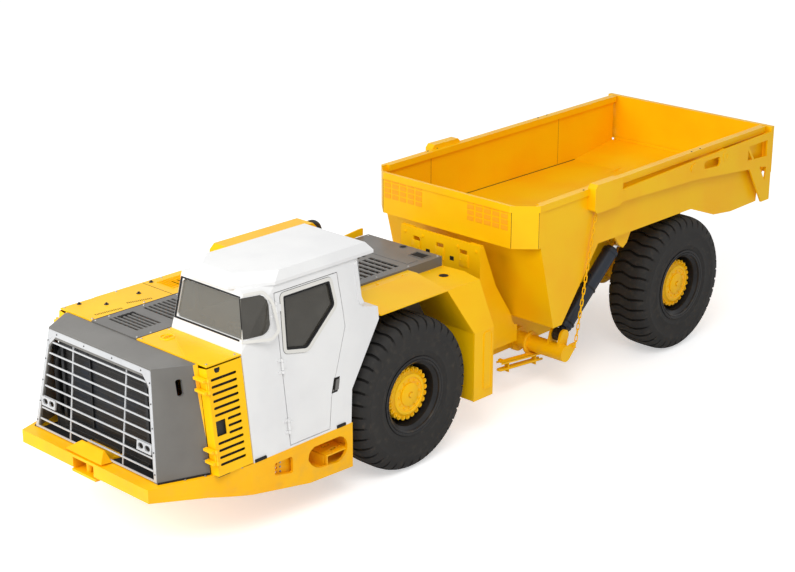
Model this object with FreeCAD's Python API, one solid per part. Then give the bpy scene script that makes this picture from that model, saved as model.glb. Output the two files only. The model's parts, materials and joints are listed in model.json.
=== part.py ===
"""Articulated underground mining truck, built as separate steel, rubber and glass pieces.

Frame: +X towards the radiator, +Y to the driver's side, +Z up, millimetres.
The origin is on the ground under the middle of the overall box.
"""
import FreeCAD, Part
import math
import os

V = FreeCAD.Vector

# ---------------------------------------------------------------- driving dimensions
WHEELBASE = 4400.0
FRONT_OVERHANG = 3077.0     # bumper ahead of the front axle
REAR_OVERHANG = 1673.0      # tailgate behind the rear axle
HITCH_SETBACK = 1380.0      # hitch pins behind the front axle
TRACK = 1810.0
TYRE_RADIUS = 775.0
TYRE_WIDTH = 500.0
BEAD_RADIUS = 340.0
BODY_WIDTH = 2330.0         # front unit at deck level
BOX_WIDTH = 2200.0          # over the side walls of the dump box
DECK_HEIGHT = 790.0         # top of the low front deck
HOOD_HEIGHT = 1790.0        # top of the engine covers
CAB_ROOF_HEIGHT = 2410.0
RIM_HEIGHT = 2260.0         # top of the dump box at its front
TAIL_RISE = 56.0            # extra rim height at the tailgate

# ---------------------------------------------------------------- walls and clearances
PLATE = 30.0                # frame plate
DECK_PLATE = 26.0
SHEET = 12.0                # covers and fenders
CAB_WALL = 45.0
GLASS = 12.0
SEAT_GAP = 0.3              # face that rests on a face
RUN_GAP = 6.0               # face that moves past a face
PIN_GAP = 0.05              # pin in its bore, each side
DOOR_GAP = 8.0

# ---------------------------------------------------------------- derived stations
NOSE_X = (WHEELBASE + FRONT_OVERHANG + REAR_OVERHANG) / 2
TAIL_X = -NOSE_X
FRONT_AXLE_X = NOSE_X - FRONT_OVERHANG
REAR_AXLE_X = FRONT_AXLE_X - WHEELBASE
HITCH_X = FRONT_AXLE_X - HITCH_SETBACK
WHEEL_Y = TRACK / 2
AXLE_Z = TYRE_RADIUS
TYRE_OUT = WHEEL_Y + TYRE_WIDTH / 2
FAR = 9000.0                # longer than any piece, for cutters

SIDES = (("left", 1), ("right", -1))


def export(node, shape):
    """Write one node's solids."""
    shape.exportStep("parts/" + node + ".step")


# ---------------------------------------------------------------- shape helpers
def polygon(points):
    """Closed wire through 3-D points."""
    return Part.makePolygon(points + [points[0]])


def prism_y(outline, y0, y1):
    """Solid from an outline of (x, z) points between two Y planes."""
    face = Part.Face(polygon([V(x, y0, z) for x, z in outline]))
    return face.extrude(V(0, y1 - y0, 0))


def prism_z(outline, z0, z1):
    """Solid from an outline of (x, y) points between two Z planes."""
    face = Part.Face(polygon([V(x, y, z0) for x, y in outline]))
    return face.extrude(V(0, 0, z1 - z0))


def prism_x(outline, x0, x1):
    """Solid from an outline of (y, z) points between two X planes."""
    face = Part.Face(polygon([V(x0, y, z) for y, z in outline]))
    return face.extrude(V(x1 - x0, 0, 0))


def block(x0, x1, y0, y1, z0, z1):
    """Box between two corners."""
    corner = V(min(x0, x1), min(y0, y1), min(z0, z1))
    return Part.makeBox(abs(x1 - x0), abs(y1 - y0), abs(z1 - z0), corner)


def rod(start, end, radius):
    """Cylinder from one point to another."""
    axis = end - start
    return Part.makeCylinder(radius, axis.Length, start, axis)


def upright(x, y, z0, z1, radius):
    """Vertical cylinder."""
    return rod(V(x, y, z0), V(x, y, z1), radius)


def crossbar(x, y0, y1, z, radius):
    """Cylinder along Y."""
    return rod(V(x, y0, z), V(x, y1, z), radius)


def loft(lower, upper):
    """Ruled solid between two closed outlines of 3-D points."""
    return Part.makeLoft([polygon(lower), polygon(upper)], True, True)


def joined(shapes):
    """One solid from pieces that share faces or overlap."""
    first = shapes[0]
    return first.multiFuse(shapes[1:]).removeSplitter() if len(shapes) > 1 else first


def cut_all(shape, cutters):
    """Shape less every cutter."""
    for cutter in cutters:
        shape = shape.cut(cutter)
    return shape


def mirrored(shape):
    """Copy on the other side of the centre plane."""
    return shape.mirror(V(0, 0, 0), V(0, 1, 0))


def both(shape):
    """The shape and its mirror copy."""
    return [shape, mirrored(shape)]


def side_of(shape, sign):
    """The shape itself on the left, its mirror copy on the right."""
    return shape if sign > 0 else mirrored(shape)


def chamfered(outline, reach):
    """Outline whose corners are cut back by a reach along both sides."""
    result = []
    count = len(outline)
    for index, (bx, by) in enumerate(outline):
        for px, py in (outline[index - 1], outline[(index + 1) % count]):
            length = math.hypot(px - bx, py - by)
            share = min(reach, 0.45 * length) / length
            result.append((bx + (px - bx) * share, by + (py - by) * share))
    return result


def rect(a0, a1, b0, b1):
    """Corner list of a rectangle."""
    return [(a0, b0), (a1, b0), (a1, b1), (a0, b1)]


# ---------------------------------------------------------------- leaning side skin
SIDE_LEAN = 0.124           # inward lean per unit of height above the deck
SIDE_FOOT = BODY_WIDTH / 2


def side_y(z):
    """Half width of the front unit's skin at height z."""
    return SIDE_FOOT - SIDE_LEAN * (z - DECK_HEIGHT)


def leaning_slab(x0, x1, z0, z1, outer_inset, inner_inset):
    """Slab that follows the leaning left side between two insets from the skin."""
    outline = [(side_y(z0) - inner_inset, z0), (side_y(z0) - outer_inset, z0),
               (side_y(z1) - outer_inset, z1), (side_y(z1) - inner_inset, z1)]
    return prism_x(outline, x0, x1)


# ---------------------------------------------------------------- leaning door hinges
HINGE_OUT = 16.0            # hinge axis beyond the skin
HINGE_R = 14.0
HINGE_PIN_R = 6.0
HINGE_LEAF = 8.0
HINGE_GAP = 3.0             # end play between knuckle and lug
KNUCKLE_HALF = 35.0
LUG_LONG = 31.0


def hinge_rod(x, z, low, high, radius):
    """Round bar on the leaning hinge axis between two heights relative to z."""
    axis = V(0, -SIDE_LEAN, 1).normalize()
    centre = V(x, side_y(z) + HINGE_OUT, z)
    return rod(centre + axis * low, centre + axis * high, radius)


def hinge_knuckles(x, heights):
    """Knuckles with their leaves on the door, which lies behind the axis."""
    parts = []
    for z in heights:
        knuckle = hinge_rod(x, z, -KNUCKLE_HALF, KNUCKLE_HALF, HINGE_R)
        leaf = leaning_slab(x - 62, x - 4, z - KNUCKLE_HALF + 4, z + KNUCKLE_HALF - 4, -HINGE_LEAF, 1)
        bore = hinge_rod(x, z, -KNUCKLE_HALF - 1, KNUCKLE_HALF + 1, HINGE_PIN_R)
        parts.append(knuckle.fuse(leaf).cut(bore))
    return parts


def hinge_lugs(x, heights, depth):
    """Lugs and pins on the fixed side, which lies ahead of the axis."""
    near = KNUCKLE_HALF + HINGE_GAP
    far = near + LUG_LONG
    parts = []
    for z in heights:
        pieces = [hinge_rod(x, z, 4 - far, far - 4, HINGE_PIN_R - PIN_GAP)]
        for low, high in ((-far, -near), (near, far)):
            pieces.append(hinge_rod(x, z, low, high, HINGE_R))
            pieces.append(leaning_slab(x + 4, x + 46, z + low + 4, z + high - 4, -HINGE_LEAF, depth))
        parts.append(joined(pieces))
    return parts


# ---------------------------------------------------------------- front unit stations
LOUVRE_FRONT_X = FRONT_AXLE_X + 2500.0
RADIATOR_INSET = 525.0      # radiator's end inboard of the side skin's foot
CAB_FRONT_X = FRONT_AXLE_X + 2090.0
SKIRT_REAR_X = FRONT_AXLE_X + TYRE_RADIUS + 95.0
FRONT_UNIT_REAR_X = FRONT_AXLE_X - 1120.0
COWL_TOP = HOOD_HEIGHT - 10.0
FRAME_Y = 430.0             # outer face of the front frame rails
FRAME_BOTTOM = 350.0
RAIL_FRONT_X = NOSE_X - 400.0
RAIL_REAR_X = FRONT_UNIT_REAR_X - PLATE
RAIL_NOSE_Z = 560.0         # underside of the rails at the bumper
RAIL_ARCH_Z = 1180.0        # top of the rails over the axle
RAIL_TAIL_Z = 1080.0        # top of the rails at the hitch
UNDER_DECK_Z = DECK_HEIGHT - DECK_PLATE
ENGINE_Z = 620.0            # underside of the engine on its cross members
AXLE_SEAT_Z = AXLE_Z + 215.0

# ---------------------------------------------------------------- bumper, deck and tow pocket
DECK_OUT_Y = SIDE_FOOT + 4.0
BUMPER_WALL = 60.0
TOW_PIN_R = 32.0
TOW_PIN_X = NOSE_X - 75.0
JAW_Z = 620.0
JAW_PLATE = 25.0
TOW_HOOD = 24.0             # raised plate over the pocket


def deck_outline():
    """Plan of the low deck, left half, from the nose to the wheel."""
    return [(NOSE_X, DECK_OUT_Y - 254), (NOSE_X - 277, DECK_OUT_Y - 169), (NOSE_X - 457, DECK_OUT_Y - 111),
            (NOSE_X - 657, DECK_OUT_Y - 56), (NOSE_X - 837, DECK_OUT_Y - 18), (NOSE_X - 967, DECK_OUT_Y),
            (SKIRT_REAR_X, DECK_OUT_Y)]


WELL_REAR_X = SKIRT_REAR_X + 60.0
TREAD_LOW_Z = 432.0
TREAD_HIGH_Z = 556.0
TREAD_T = 14.0
TREAD_DEPTH = 260.0
TREAD_SPLIT_X = WELL_REAR_X + 250.0     # riser between the two treads
POCKET_REAR_X = SKIRT_REAR_X + 760.0
POCKET_DEEP = 60.0
TIE_R = 14.0
TIE_PLATE = 20.0
TIE_PITCH = 44.0
TIE_X = POCKET_REAR_X + 150.0
TIE_Z = 618.0


def step_well():
    """Large opening of the side skirt that takes a boot, in (x, z)."""
    x = WELL_REAR_X
    return chamfered(chamfered([(x + 20, 440), (x + 470, 480), (x + 540, 705), (x, 705)], 80), 30)


def skirt_pocket():
    """Shallow recess of the side skirt over its tie-down plate, in (x, z)."""
    x = POCKET_REAR_X
    return chamfered([(x, 540), (x + 220, 585), (x + 220, 705), (x, 705)], 16)


def step_treads():
    """Low front tread, high rear tread and the walls behind the left step well."""
    x0 = WELL_REAR_X - 30
    x1 = WELL_REAR_X + 560
    y0 = DECK_OUT_Y - TREAD_DEPTH
    y1 = DECK_OUT_Y - PLATE / 2
    split = TREAD_SPLIT_X
    low = block(split, x1, y0, y1, TREAD_LOW_Z - TREAD_T, TREAD_LOW_Z)
    riser = block(split, split + TREAD_T, y0, y1, TREAD_LOW_Z - TREAD_T, TREAD_HIGH_Z)
    high = block(x0, split + TREAD_T, y0, y1, TREAD_HIGH_Z - TREAD_T, TREAD_HIGH_Z)
    back = block(x0, x1, y0, y0 + TREAD_T, TREAD_HIGH_Z - TREAD_T, UNDER_DECK_Z)
    front = block(split, x1, y0, y0 + TREAD_T, TREAD_LOW_Z - TREAD_T, UNDER_DECK_Z)
    slots = []
    for x, z in ((x0 + 80, TREAD_HIGH_Z), (split + 110, TREAD_LOW_Z)):
        for y in (y0 + 60, y0 + 150):
            slots.append(prism_z(chamfered(rect(x, x + 120, y, y + 36), 14), z - TREAD_T - 1, z + 1))
    return cut_all(joined([low, riser, high, back, front]), slots)


def tie_down_plate():
    """Plate at the back of the left skirt pocket, with three holes in a row."""
    outer = DECK_OUT_Y - POCKET_DEEP
    plate = block(POCKET_REAR_X - 20, POCKET_REAR_X + 240, outer - TIE_PLATE, outer, 500, UNDER_DECK_Z)
    rim = block(POCKET_REAR_X - 20, POCKET_REAR_X + 240, outer - TIE_PLATE, DECK_OUT_Y - PLATE / 2, 512, 526)
    holes = [crossbar(TIE_X, 0, FAR, TIE_Z + shift * TIE_PITCH, TIE_R) for shift in (-1, 0, 1)]
    return cut_all(joined([plate, rim]), holes)


def bumper_deck():
    """Deck plate with deep side skirts, step wells and the tow pocket."""
    left = deck_outline()
    plan = left + [(x, -y) for x, y in reversed(left)]
    inner = [(min(x, NOSE_X - BUMPER_WALL), y - PLATE) for x, y in left]
    inner[-1] = (SKIRT_REAR_X - 10, inner[-1][1])
    core = prism_z(inner + [(x, -y) for x, y in reversed(inner)], 0, UNDER_DECK_Z)
    sweep = [(NOSE_X + 10, 665), (NOSE_X - 527, 589), (NOSE_X - 927, 500), (NOSE_X - 1657, 363),
             (SKIRT_REAR_X - 10, 340), (SKIRT_REAR_X - 10, 0), (NOSE_X + 10, 0)]
    cutters = [core, prism_y(sweep, -FAR, FAR),
               block(NOSE_X - BUMPER_WALL - 1, NOSE_X + 1, -150, 150, 0, UNDER_DECK_Z)]
    for outline in (step_well(), skirt_pocket()):
        cutters += both(prism_y(outline, DECK_OUT_Y - 130, FAR))
    band = cut_all(prism_z(plan, 0, UNDER_DECK_Z), cutters)
    bay = block(SKIRT_REAR_X - 10, RAIL_FRONT_X, PLATE - FRAME_Y, FRAME_Y - PLATE, 0, DECK_HEIGHT + 1)
    deck = prism_z(plan, UNDER_DECK_Z, DECK_HEIGHT).cut(bay)
    jaw = prism_z([(NOSE_X - 360, -200), (NOSE_X, -170), (NOSE_X, 170), (NOSE_X - 360, 200)],
                  JAW_Z, JAW_Z + JAW_PLATE)
    cheek = block(NOSE_X - 360, NOSE_X - 20, 150, 175, JAW_Z, UNDER_DECK_Z)
    cover = prism_z([(NOSE_X - 280, -240), (NOSE_X - 30, -170), (NOSE_X - 30, 170), (NOSE_X - 280, 240)],
                    DECK_HEIGHT, DECK_HEIGHT + TOW_HOOD)
    solid = joined([deck, band, jaw, cover] + both(cheek) + both(step_treads()) + both(tie_down_plate()))
    return solid.cut(upright(TOW_PIN_X, 0, 0, 2 * DECK_HEIGHT, TOW_PIN_R + SEAT_GAP))


def tow_pin():
    """Upright pin of the towing pocket, with its head on the raised plate."""
    top = DECK_HEIGHT + TOW_HOOD + SEAT_GAP
    return joined([upright(TOW_PIN_X, 0, JAW_Z - 8, top, TOW_PIN_R),
                   upright(TOW_PIN_X, 0, top, top + 18, TOW_PIN_R + 14)])


# ---------------------------------------------------------------- articulated hitch
HITCH_LOWER_Z = 430.0
HITCH_UPPER_Z = 980.0
HITCH_PIN_R = 55.0
KNUCKLE_R = HITCH_PIN_R + 65.0
FORK_THICK = 45.0
FORK_GAP = 120.0            # space between a fork's two plates
FORK_ROOT_Y = 330.0
STEER_Z = (HITCH_LOWER_Z + HITCH_UPPER_Z) / 2
STEER_FRONT_X = HITCH_X + 900.0
STEER_REAR_X = HITCH_X - 80.0
STEER_Y = 300.0
STEER_EYE_T = 60.0
STEER_PIN_R = 28.0
STEER_LUG_T = 25.0
STEER_LUG_R = STEER_PIN_R + 30.0
STEER_LUG_GAP = 8.0
TRUNNION_R = 150.0
TRUNNION_BORE_R = 90.0
COLUMN_X = HITCH_X - 170.0  # front face of the carrier's column
COLUMN_T = 60.0
COLUMN_Y = 340.0
BULKHEAD_X = COLUMN_X - COLUMN_T - RUN_GAP
BULKHEAD_T = 160.0
TRUNNION_END_X = BULKHEAD_X - BULKHEAD_T - 60.0


def steer_lug_levels():
    """Lower faces of the two lugs on either side of a steering eye."""
    reach = STEER_EYE_T / 2 + STEER_LUG_GAP
    return (STEER_Z - reach - STEER_LUG_T, STEER_Z + reach)


def hitch_forks():
    """Four plates that reach back from the front frame to the hitch pins."""
    plates = []
    for level in (HITCH_LOWER_Z, HITCH_UPPER_Z):
        for low in (level - FORK_GAP / 2 - FORK_THICK, level + FORK_GAP / 2):
            high = low + FORK_THICK
            tongue = prism_z([(RAIL_REAR_X + PLATE, -FORK_ROOT_Y), (RAIL_REAR_X + PLATE, FORK_ROOT_Y),
                              (HITCH_X, KNUCKLE_R), (HITCH_X, -KNUCKLE_R)], low, high)
            nose = upright(HITCH_X, 0, low, high, KNUCKLE_R)
            plates.append(tongue.fuse(nose).cut(upright(HITCH_X, 0, low, high, HITCH_PIN_R)))
    return plates


def steer_foot_lugs():
    """Two lugs with their pin on the left rail, for the foot of a steering cylinder."""
    pieces = []
    for low in steer_lug_levels():
        pieces.append(upright(STEER_FRONT_X, STEER_Y, low, low + STEER_LUG_T, STEER_LUG_R))
        pieces.append(block(STEER_FRONT_X - STEER_LUG_R, STEER_FRONT_X + STEER_LUG_R, STEER_Y,
                            FRAME_Y - PLATE / 2, low, low + STEER_LUG_T))
    reach = STEER_EYE_T / 2 + STEER_LUG_GAP + STEER_LUG_T / 2
    pieces.append(upright(STEER_FRONT_X, STEER_Y, STEER_Z - reach, STEER_Z + reach,
                          STEER_PIN_R - PIN_GAP))
    return pieces


def front_frame():
    """Two rails, belly plate, cross walls, engine bearers and the two hitch forks."""
    inner_y = FRAME_Y - PLATE
    outline = [(RAIL_FRONT_X, UNDER_DECK_Z), (SKIRT_REAR_X - 170, UNDER_DECK_Z),
               (SKIRT_REAR_X - 350, RAIL_ARCH_Z), (FRONT_AXLE_X - 600, RAIL_ARCH_Z),
               (RAIL_REAR_X, RAIL_TAIL_Z), (RAIL_REAR_X, FRAME_BOTTOM), (SKIRT_REAR_X + 300, FRAME_BOTTOM),
               (RAIL_FRONT_X, RAIL_NOSE_Z)]
    rail = prism_y(outline, inner_y, FRAME_Y)
    belly = prism_y([(RAIL_FRONT_X, RAIL_NOSE_Z), (SKIRT_REAR_X + 300, FRAME_BOTTOM),
                     (RAIL_REAR_X, FRAME_BOTTOM), (RAIL_REAR_X, FRAME_BOTTOM + PLATE),
                     (SKIRT_REAR_X + 300, FRAME_BOTTOM + PLATE), (RAIL_FRONT_X, RAIL_NOSE_Z + PLATE)],
                    -FRAME_Y, FRAME_Y)
    rear_wall = block(RAIL_REAR_X, RAIL_REAR_X + PLATE, -FRAME_Y, FRAME_Y, FRAME_BOTTOM, RAIL_TAIL_Z)
    front_wall = block(RAIL_FRONT_X - PLATE, RAIL_FRONT_X, -FRAME_Y, FRAME_Y, RAIL_NOSE_Z, UNDER_DECK_Z)
    bearer_x = (ENGINE_REAR_X + 100, ENGINE_FRONT_X - 160)
    bearers = [block(x, x + 90, -inner_y, inner_y, FRAME_BOTTOM + PLATE / 2, ENGINE_Z - SEAT_GAP)
               for x in bearer_x]
    nose_side = prism_y([(RAIL_FRONT_X, RAIL_NOSE_Z), (SKIRT_REAR_X + 300, FRAME_BOTTOM),
                         (SKIRT_REAR_X + 300, 0), (RAIL_FRONT_X, 0)], -FAR, FAR)
    bearers = [bearer.cut(nose_side) for bearer in bearers]
    windows = block(RAIL_REAR_X - 1, RAIL_REAR_X + PLATE + 1, 180, 390, STEER_Z - 85, STEER_Z + 85)
    axle_way = block(FRONT_AXLE_X - 230, FRONT_AXLE_X + 230, -FRAME_Y - 1, FRAME_Y + 1, 0, AXLE_SEAT_Z)
    frame = joined(both(rail) + [belly, rear_wall, front_wall] + bearers + hitch_forks())
    frame = cut_all(frame, both(windows) + [axle_way])
    lugs = [side_of(piece, sign) for _, sign in SIDES for piece in steer_foot_lugs()]
    return joined([frame] + lugs)


def carrier_ears():
    """Two ears on the column for the rod eye of the left steering cylinder."""
    ears = []
    for low in steer_lug_levels():
        high = low + STEER_LUG_T
        ear = upright(STEER_REAR_X, STEER_Y, low, high, STEER_LUG_R)
        root = block(COLUMN_X, STEER_REAR_X, STEER_Y - STEER_LUG_R, STEER_Y + STEER_LUG_R, low, high)
        ears.append(ear.fuse(root).cut(upright(STEER_REAR_X, STEER_Y, low, high, STEER_PIN_R)))
    return ears


def hitch_carrier():
    """Yoke that turns on the hitch pins and carries the rocking bearing."""
    half = FORK_GAP / 2 - RUN_GAP
    knuckle = KNUCKLE_R - 5
    pieces = [block(COLUMN_X - COLUMN_T, COLUMN_X, -COLUMN_Y, COLUMN_Y, HITCH_LOWER_Z - half,
                    HITCH_UPPER_Z + half)]
    for level in (HITCH_LOWER_Z, HITCH_UPPER_Z):
        arm = prism_z([(COLUMN_X, -180), (COLUMN_X, 180), (HITCH_X, knuckle), (HITCH_X, -knuckle)],
                      level - half, level + half)
        nose = upright(HITCH_X, 0, level - half, level + half, knuckle)
        pieces.append(arm.fuse(nose).cut(upright(HITCH_X, 0, level - half, level + half, HITCH_PIN_R)))
    pieces.append(rod(V(COLUMN_X - COLUMN_T, 0, STEER_Z), V(TRUNNION_END_X, 0, STEER_Z),
                      TRUNNION_R - PIN_GAP))
    pieces.append(rod(V(BULKHEAD_X - BULKHEAD_T - RUN_GAP, 0, STEER_Z), V(TRUNNION_END_X, 0, STEER_Z),
                      TRUNNION_R + 40))
    pieces += [side_of(ear, sign) for _, sign in SIDES for ear in carrier_ears()]
    shaft_way = rod(V(COLUMN_X + 1, 0, STEER_Z), V(TRUNNION_END_X - 1, 0, STEER_Z), TRUNNION_BORE_R)
    reach = STEER_EYE_T / 2 + STEER_LUG_GAP
    notch = block(COLUMN_X - 32, COLUMN_X + 1, STEER_Y - 65, COLUMN_Y + 1, STEER_Z - reach,
                  STEER_Z + reach)
    return cut_all(joined(pieces), [shaft_way] + both(notch))


def hitch_pins():
    """Upper and lower hitch pins with their caps."""
    pins = []
    reach = FORK_GAP / 2 + FORK_THICK
    for level in (HITCH_LOWER_Z, HITCH_UPPER_Z):
        top = level + reach
        pins.append(joined([upright(HITCH_X, 0, level - reach, top, HITCH_PIN_R - PIN_GAP),
                            upright(HITCH_X, 0, top, top + SEAT_GAP, HITCH_PIN_R - 10),
                            upright(HITCH_X, 0, top + SEAT_GAP, top + 16, HITCH_PIN_R + 22)]))
    return Part.makeCompound(pins)


# ---------------------------------------------------------------- hydraulic cylinders
class Ram:
    """Cylinder laid between two eye centres, cut into barrel, stages and rod."""

    def __init__(self, foot, head, across):
        self.foot = foot
        self.axis = (head - foot).normalize()
        self.length = (head - foot).Length
        self.across = across

    def solid(self, start, end, radius):
        """Full round length between two distances from the foot."""
        return rod(self.foot + self.axis * start, self.foot + self.axis * end, radius)

    def tube(self, start, end, outer, inner):
        """Hollow round length."""
        return self.solid(start, end, outer).cut(self.solid(start, end, inner))

    def disc(self, distance, radius, width):
        """Round piece on a pin's axis."""
        centre = self.foot + self.axis * distance
        return rod(centre - self.across * (width / 2), centre + self.across * (width / 2), radius)


STEER_BARREL_R = 58.0
STEER_WALL = 10.0
STEER_ROD_R = 30.0
STEER_BARREL_END = 640.0
STEER_PISTON = 330.0        # piston's place at straight ahead


def steer_ram(sign):
    """Barrel and rod of one steering cylinder."""
    ram = Ram(V(STEER_FRONT_X, sign * STEER_Y, STEER_Z), V(STEER_REAR_X, sign * STEER_Y, STEER_Z),
              V(0, 0, 1))
    eye_r = STEER_PIN_R + 22
    bore = STEER_BARREL_R - STEER_WALL
    barrel = joined([ram.tube(STEER_LUG_R + 32, STEER_BARREL_END, STEER_BARREL_R, bore),
                     ram.solid(eye_r - 5, STEER_LUG_R + 18, STEER_ROD_R),
                     ram.solid(STEER_LUG_R + 16, STEER_LUG_R + 34, bore + 2),
                     ram.tube(STEER_BARREL_END - 45, STEER_BARREL_END, STEER_BARREL_R + 6,
                              STEER_ROD_R + PIN_GAP),
                     ram.disc(0, eye_r, STEER_EYE_T)])
    barrel = barrel.cut(ram.disc(0, STEER_PIN_R, STEER_EYE_T))
    stem = joined([ram.solid(STEER_PISTON, STEER_PISTON + 30, bore - PIN_GAP),
                   ram.solid(STEER_PISTON, ram.length - 10, STEER_ROD_R),
                   ram.disc(ram.length, eye_r, STEER_EYE_T)])
    return barrel, stem


# ---------------------------------------------------------------- wheels and axles
HUB_R = 265.0
HUB_FACE = 165.0            # hub end beyond the wheel's middle plane
HUB_DEPTH = 150.0           # hub drum inboard of that plane
SPINDLE_R = 110.0
HOUSING_R = 135.0
DIFF_R = 235.0
DIFF_HALF = 170.0
PAD_HALF_X = 150.0
FLANGE = 60.0               # rim flange above the bead


def ring_profile(points, centre_x, sign):
    """Solid of revolution about the axle from (radius, outward) points."""
    outline = [V(centre_x + radius, sign * (WHEEL_Y + out), AXLE_Z) for radius, out in points]
    face = Part.Face(polygon(outline))
    return face.revolve(V(centre_x, 0, AXLE_Z), V(0, 1, 0), 360)


def tyre(centre_x, sign):
    """Wide tyre with rounded shoulders and deep sidewalls."""
    half = TYRE_WIDTH / 2
    outer = [(BEAD_RADIUS, half - FLANGE), (BEAD_RADIUS + FLANGE, half - 25), (TYRE_RADIUS - 150, half),
             (TYRE_RADIUS - 40, half - 36), (TYRE_RADIUS, half - 130)]
    profile = outer + [(radius, -out) for radius, out in reversed(outer)]
    return ring_profile(profile, centre_x, sign)


def wheel_hub(centre_x, sign):
    """Rim, disc and planetary hub of one wheel, turned as one profile."""
    half = TYRE_WIDTH / 2
    bead = BEAD_RADIUS
    bore = SPINDLE_R + PIN_GAP
    inner_rim = [(bead - 24, FLANGE - half), (bead + 40, 4 - half), (bead + FLANGE, 4 - half),
                 (bead + FLANGE, 25 - half), (bead, FLANGE - half)]
    outer_rim = [(radius, -out) for radius, out in reversed(inner_rim)]
    profile = ([(bore, -HUB_DEPTH), (HUB_R - 30, -HUB_DEPTH), (HUB_R - 30, -20), (bead - 40, -20)]
               + inner_rim + outer_rim
               + [(bead - 40, 20), (HUB_R, 40), (HUB_R, 120), (HUB_R - 60, HUB_FACE),
                  (0, HUB_FACE), (0, 60), (bore, 60)])
    return ring_profile(profile, centre_x, sign)


def axle(centre_x, pad_top, rail_y):
    """Rigid drive axle with its differential, spindles and the pads under the rails."""
    housing_end = WHEEL_Y - HUB_DEPTH - 15
    pad = block(centre_x - PAD_HALF_X, centre_x + PAD_HALF_X, rail_y - 120, rail_y, AXLE_Z,
                pad_top - SEAT_GAP)
    bowl = ring_profile([(60, -DIFF_HALF - WHEEL_Y), (DIFF_R - 70, -DIFF_HALF - WHEEL_Y),
                         (DIFF_R, -DIFF_HALF / 2 - WHEEL_Y), (DIFF_R, DIFF_HALF / 2 - WHEEL_Y),
                         (DIFF_R - 70, DIFF_HALF - WHEEL_Y), (60, DIFF_HALF - WHEEL_Y)], centre_x, 1)
    return joined([crossbar(centre_x, -housing_end, housing_end, AXLE_Z, HOUSING_R),
                   crossbar(centre_x, -WHEEL_Y - 55, WHEEL_Y + 55, AXLE_Z, SPINDLE_R), bowl,
                   rod(V(centre_x, 0, AXLE_Z), V(centre_x - 330, 0, AXLE_Z), 95)] + both(pad))


# ---------------------------------------------------------------- rear unit stations
BEAM_Y = 400.0              # outer face of the rear frame beams
BEAM_T = 120.0
BEAM_SEAT_Z = AXLE_Z + 185.0
TIP_PIVOT_X = REAR_AXLE_X - 750.0
TIP_PIVOT_Z = 1150.0
TIP_PIN_R = 60.0
TOWER_Y = 560.0
TOWER_FRONT_X = HITCH_X - 220.0
TOWER_TOP = 1770.0
BOX_FRONT_X = HITCH_X - 298.0
BELLY_TOP_X = BOX_FRONT_X - 236.0   # belly wall under the apron
BELLY_FOOT_X = BELLY_TOP_X - 247.0
BELLY_FOOT_Z = 860.0
BELLY_REAR_X = REAR_AXLE_X + 1550.0
FLOOR_Z = TYRE_RADIUS + 845.0       # underside of the box over the rear wheels
APRON_BOTTOM = RIM_HEIGHT - 456.0
BOX_WALL = 24.0
BOX_SIDE_Y = BOX_WIDTH / 2
RIM_LIP = 70.0
CROSS_TUBE_X = BELLY_FOOT_X - 239.0
CROSS_TUBE_Z = 500.0
CROSS_TUBE_R = 90.0
CROSS_TUBE_END = BOX_SIDE_Y
HOIST_Y = 950.0
HOIST_FOOT_X = CROSS_TUBE_X - 50.0
HOIST_FOOT_Z = CROSS_TUBE_Z + 170.0
HOIST_HEAD_X = REAR_AXLE_X + 980.0
HOIST_HEAD_Z = FLOOR_Z - 120.0
HOIST_EYE_T = 80.0
HOIST_EYE_R = 68.0
HOIST_PIN_R = 35.0
HOIST_EAR_GAP = 12.0
HOIST_EAR_T = 28.0

# ---------------------------------------------------------------- tailgate arms and chains
GATE_PIVOT_X = TIP_PIVOT_X + 50.0
GATE_PIVOT_Z = RIM_HEIGHT - 110.0
GATE_PIN_R = 35.0
ARM_T = 22.0
ARM_IN = TYRE_OUT + 7.0     # arms pass outside the tyres when the box is tipped
ARM_OUT = ARM_IN + ARM_T
GUARD_OUT = ARM_OUT + 16.0
LEG_FOOT_Z = 1430.0         # foot of the arm's leg at the tail
BAR_LOW_Z = 1885.0          # level bar of the arm above the leg
BAR_TOP_Z = 1978.0
CHAIN_Y = (BOX_SIDE_Y + ARM_IN) / 2
CHAIN_HEAD_X = REAR_AXLE_X + 1600.0
CHAIN_HEAD_Z = RIM_HEIGHT - 160.0
CHAIN_FOOT_X = CROSS_TUBE_X - 100.0
CHAIN_FOOT_Z = CROSS_TUBE_Z + 60.0
CHAIN_PIN_R = 7.0
LINK_PITCH = 76.0
LINK_BAR = 15.0
LINK_WIDE = 46.0


def tower_side():
    """Side plate of the tower in (x, z), with its rear edge curved past the belly."""
    return [(BULKHEAD_X, 560), (BULKHEAD_X, 1050), (TOWER_FRONT_X, 1350), (TOWER_FRONT_X, TOWER_TOP),
            (TOWER_FRONT_X - 50, TOWER_TOP), (BELLY_TOP_X + 57, 1280), (BELLY_TOP_X - 30, 1145),
            (BELLY_FOOT_X + 80, 945), (BELLY_FOOT_X + 40, 880), (BELLY_FOOT_X + 22, 815),
            (BELLY_FOOT_X - 10, 760), (BELLY_FOOT_X - 60, 745), (BELLY_FOOT_X - 60, 560)]


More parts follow.
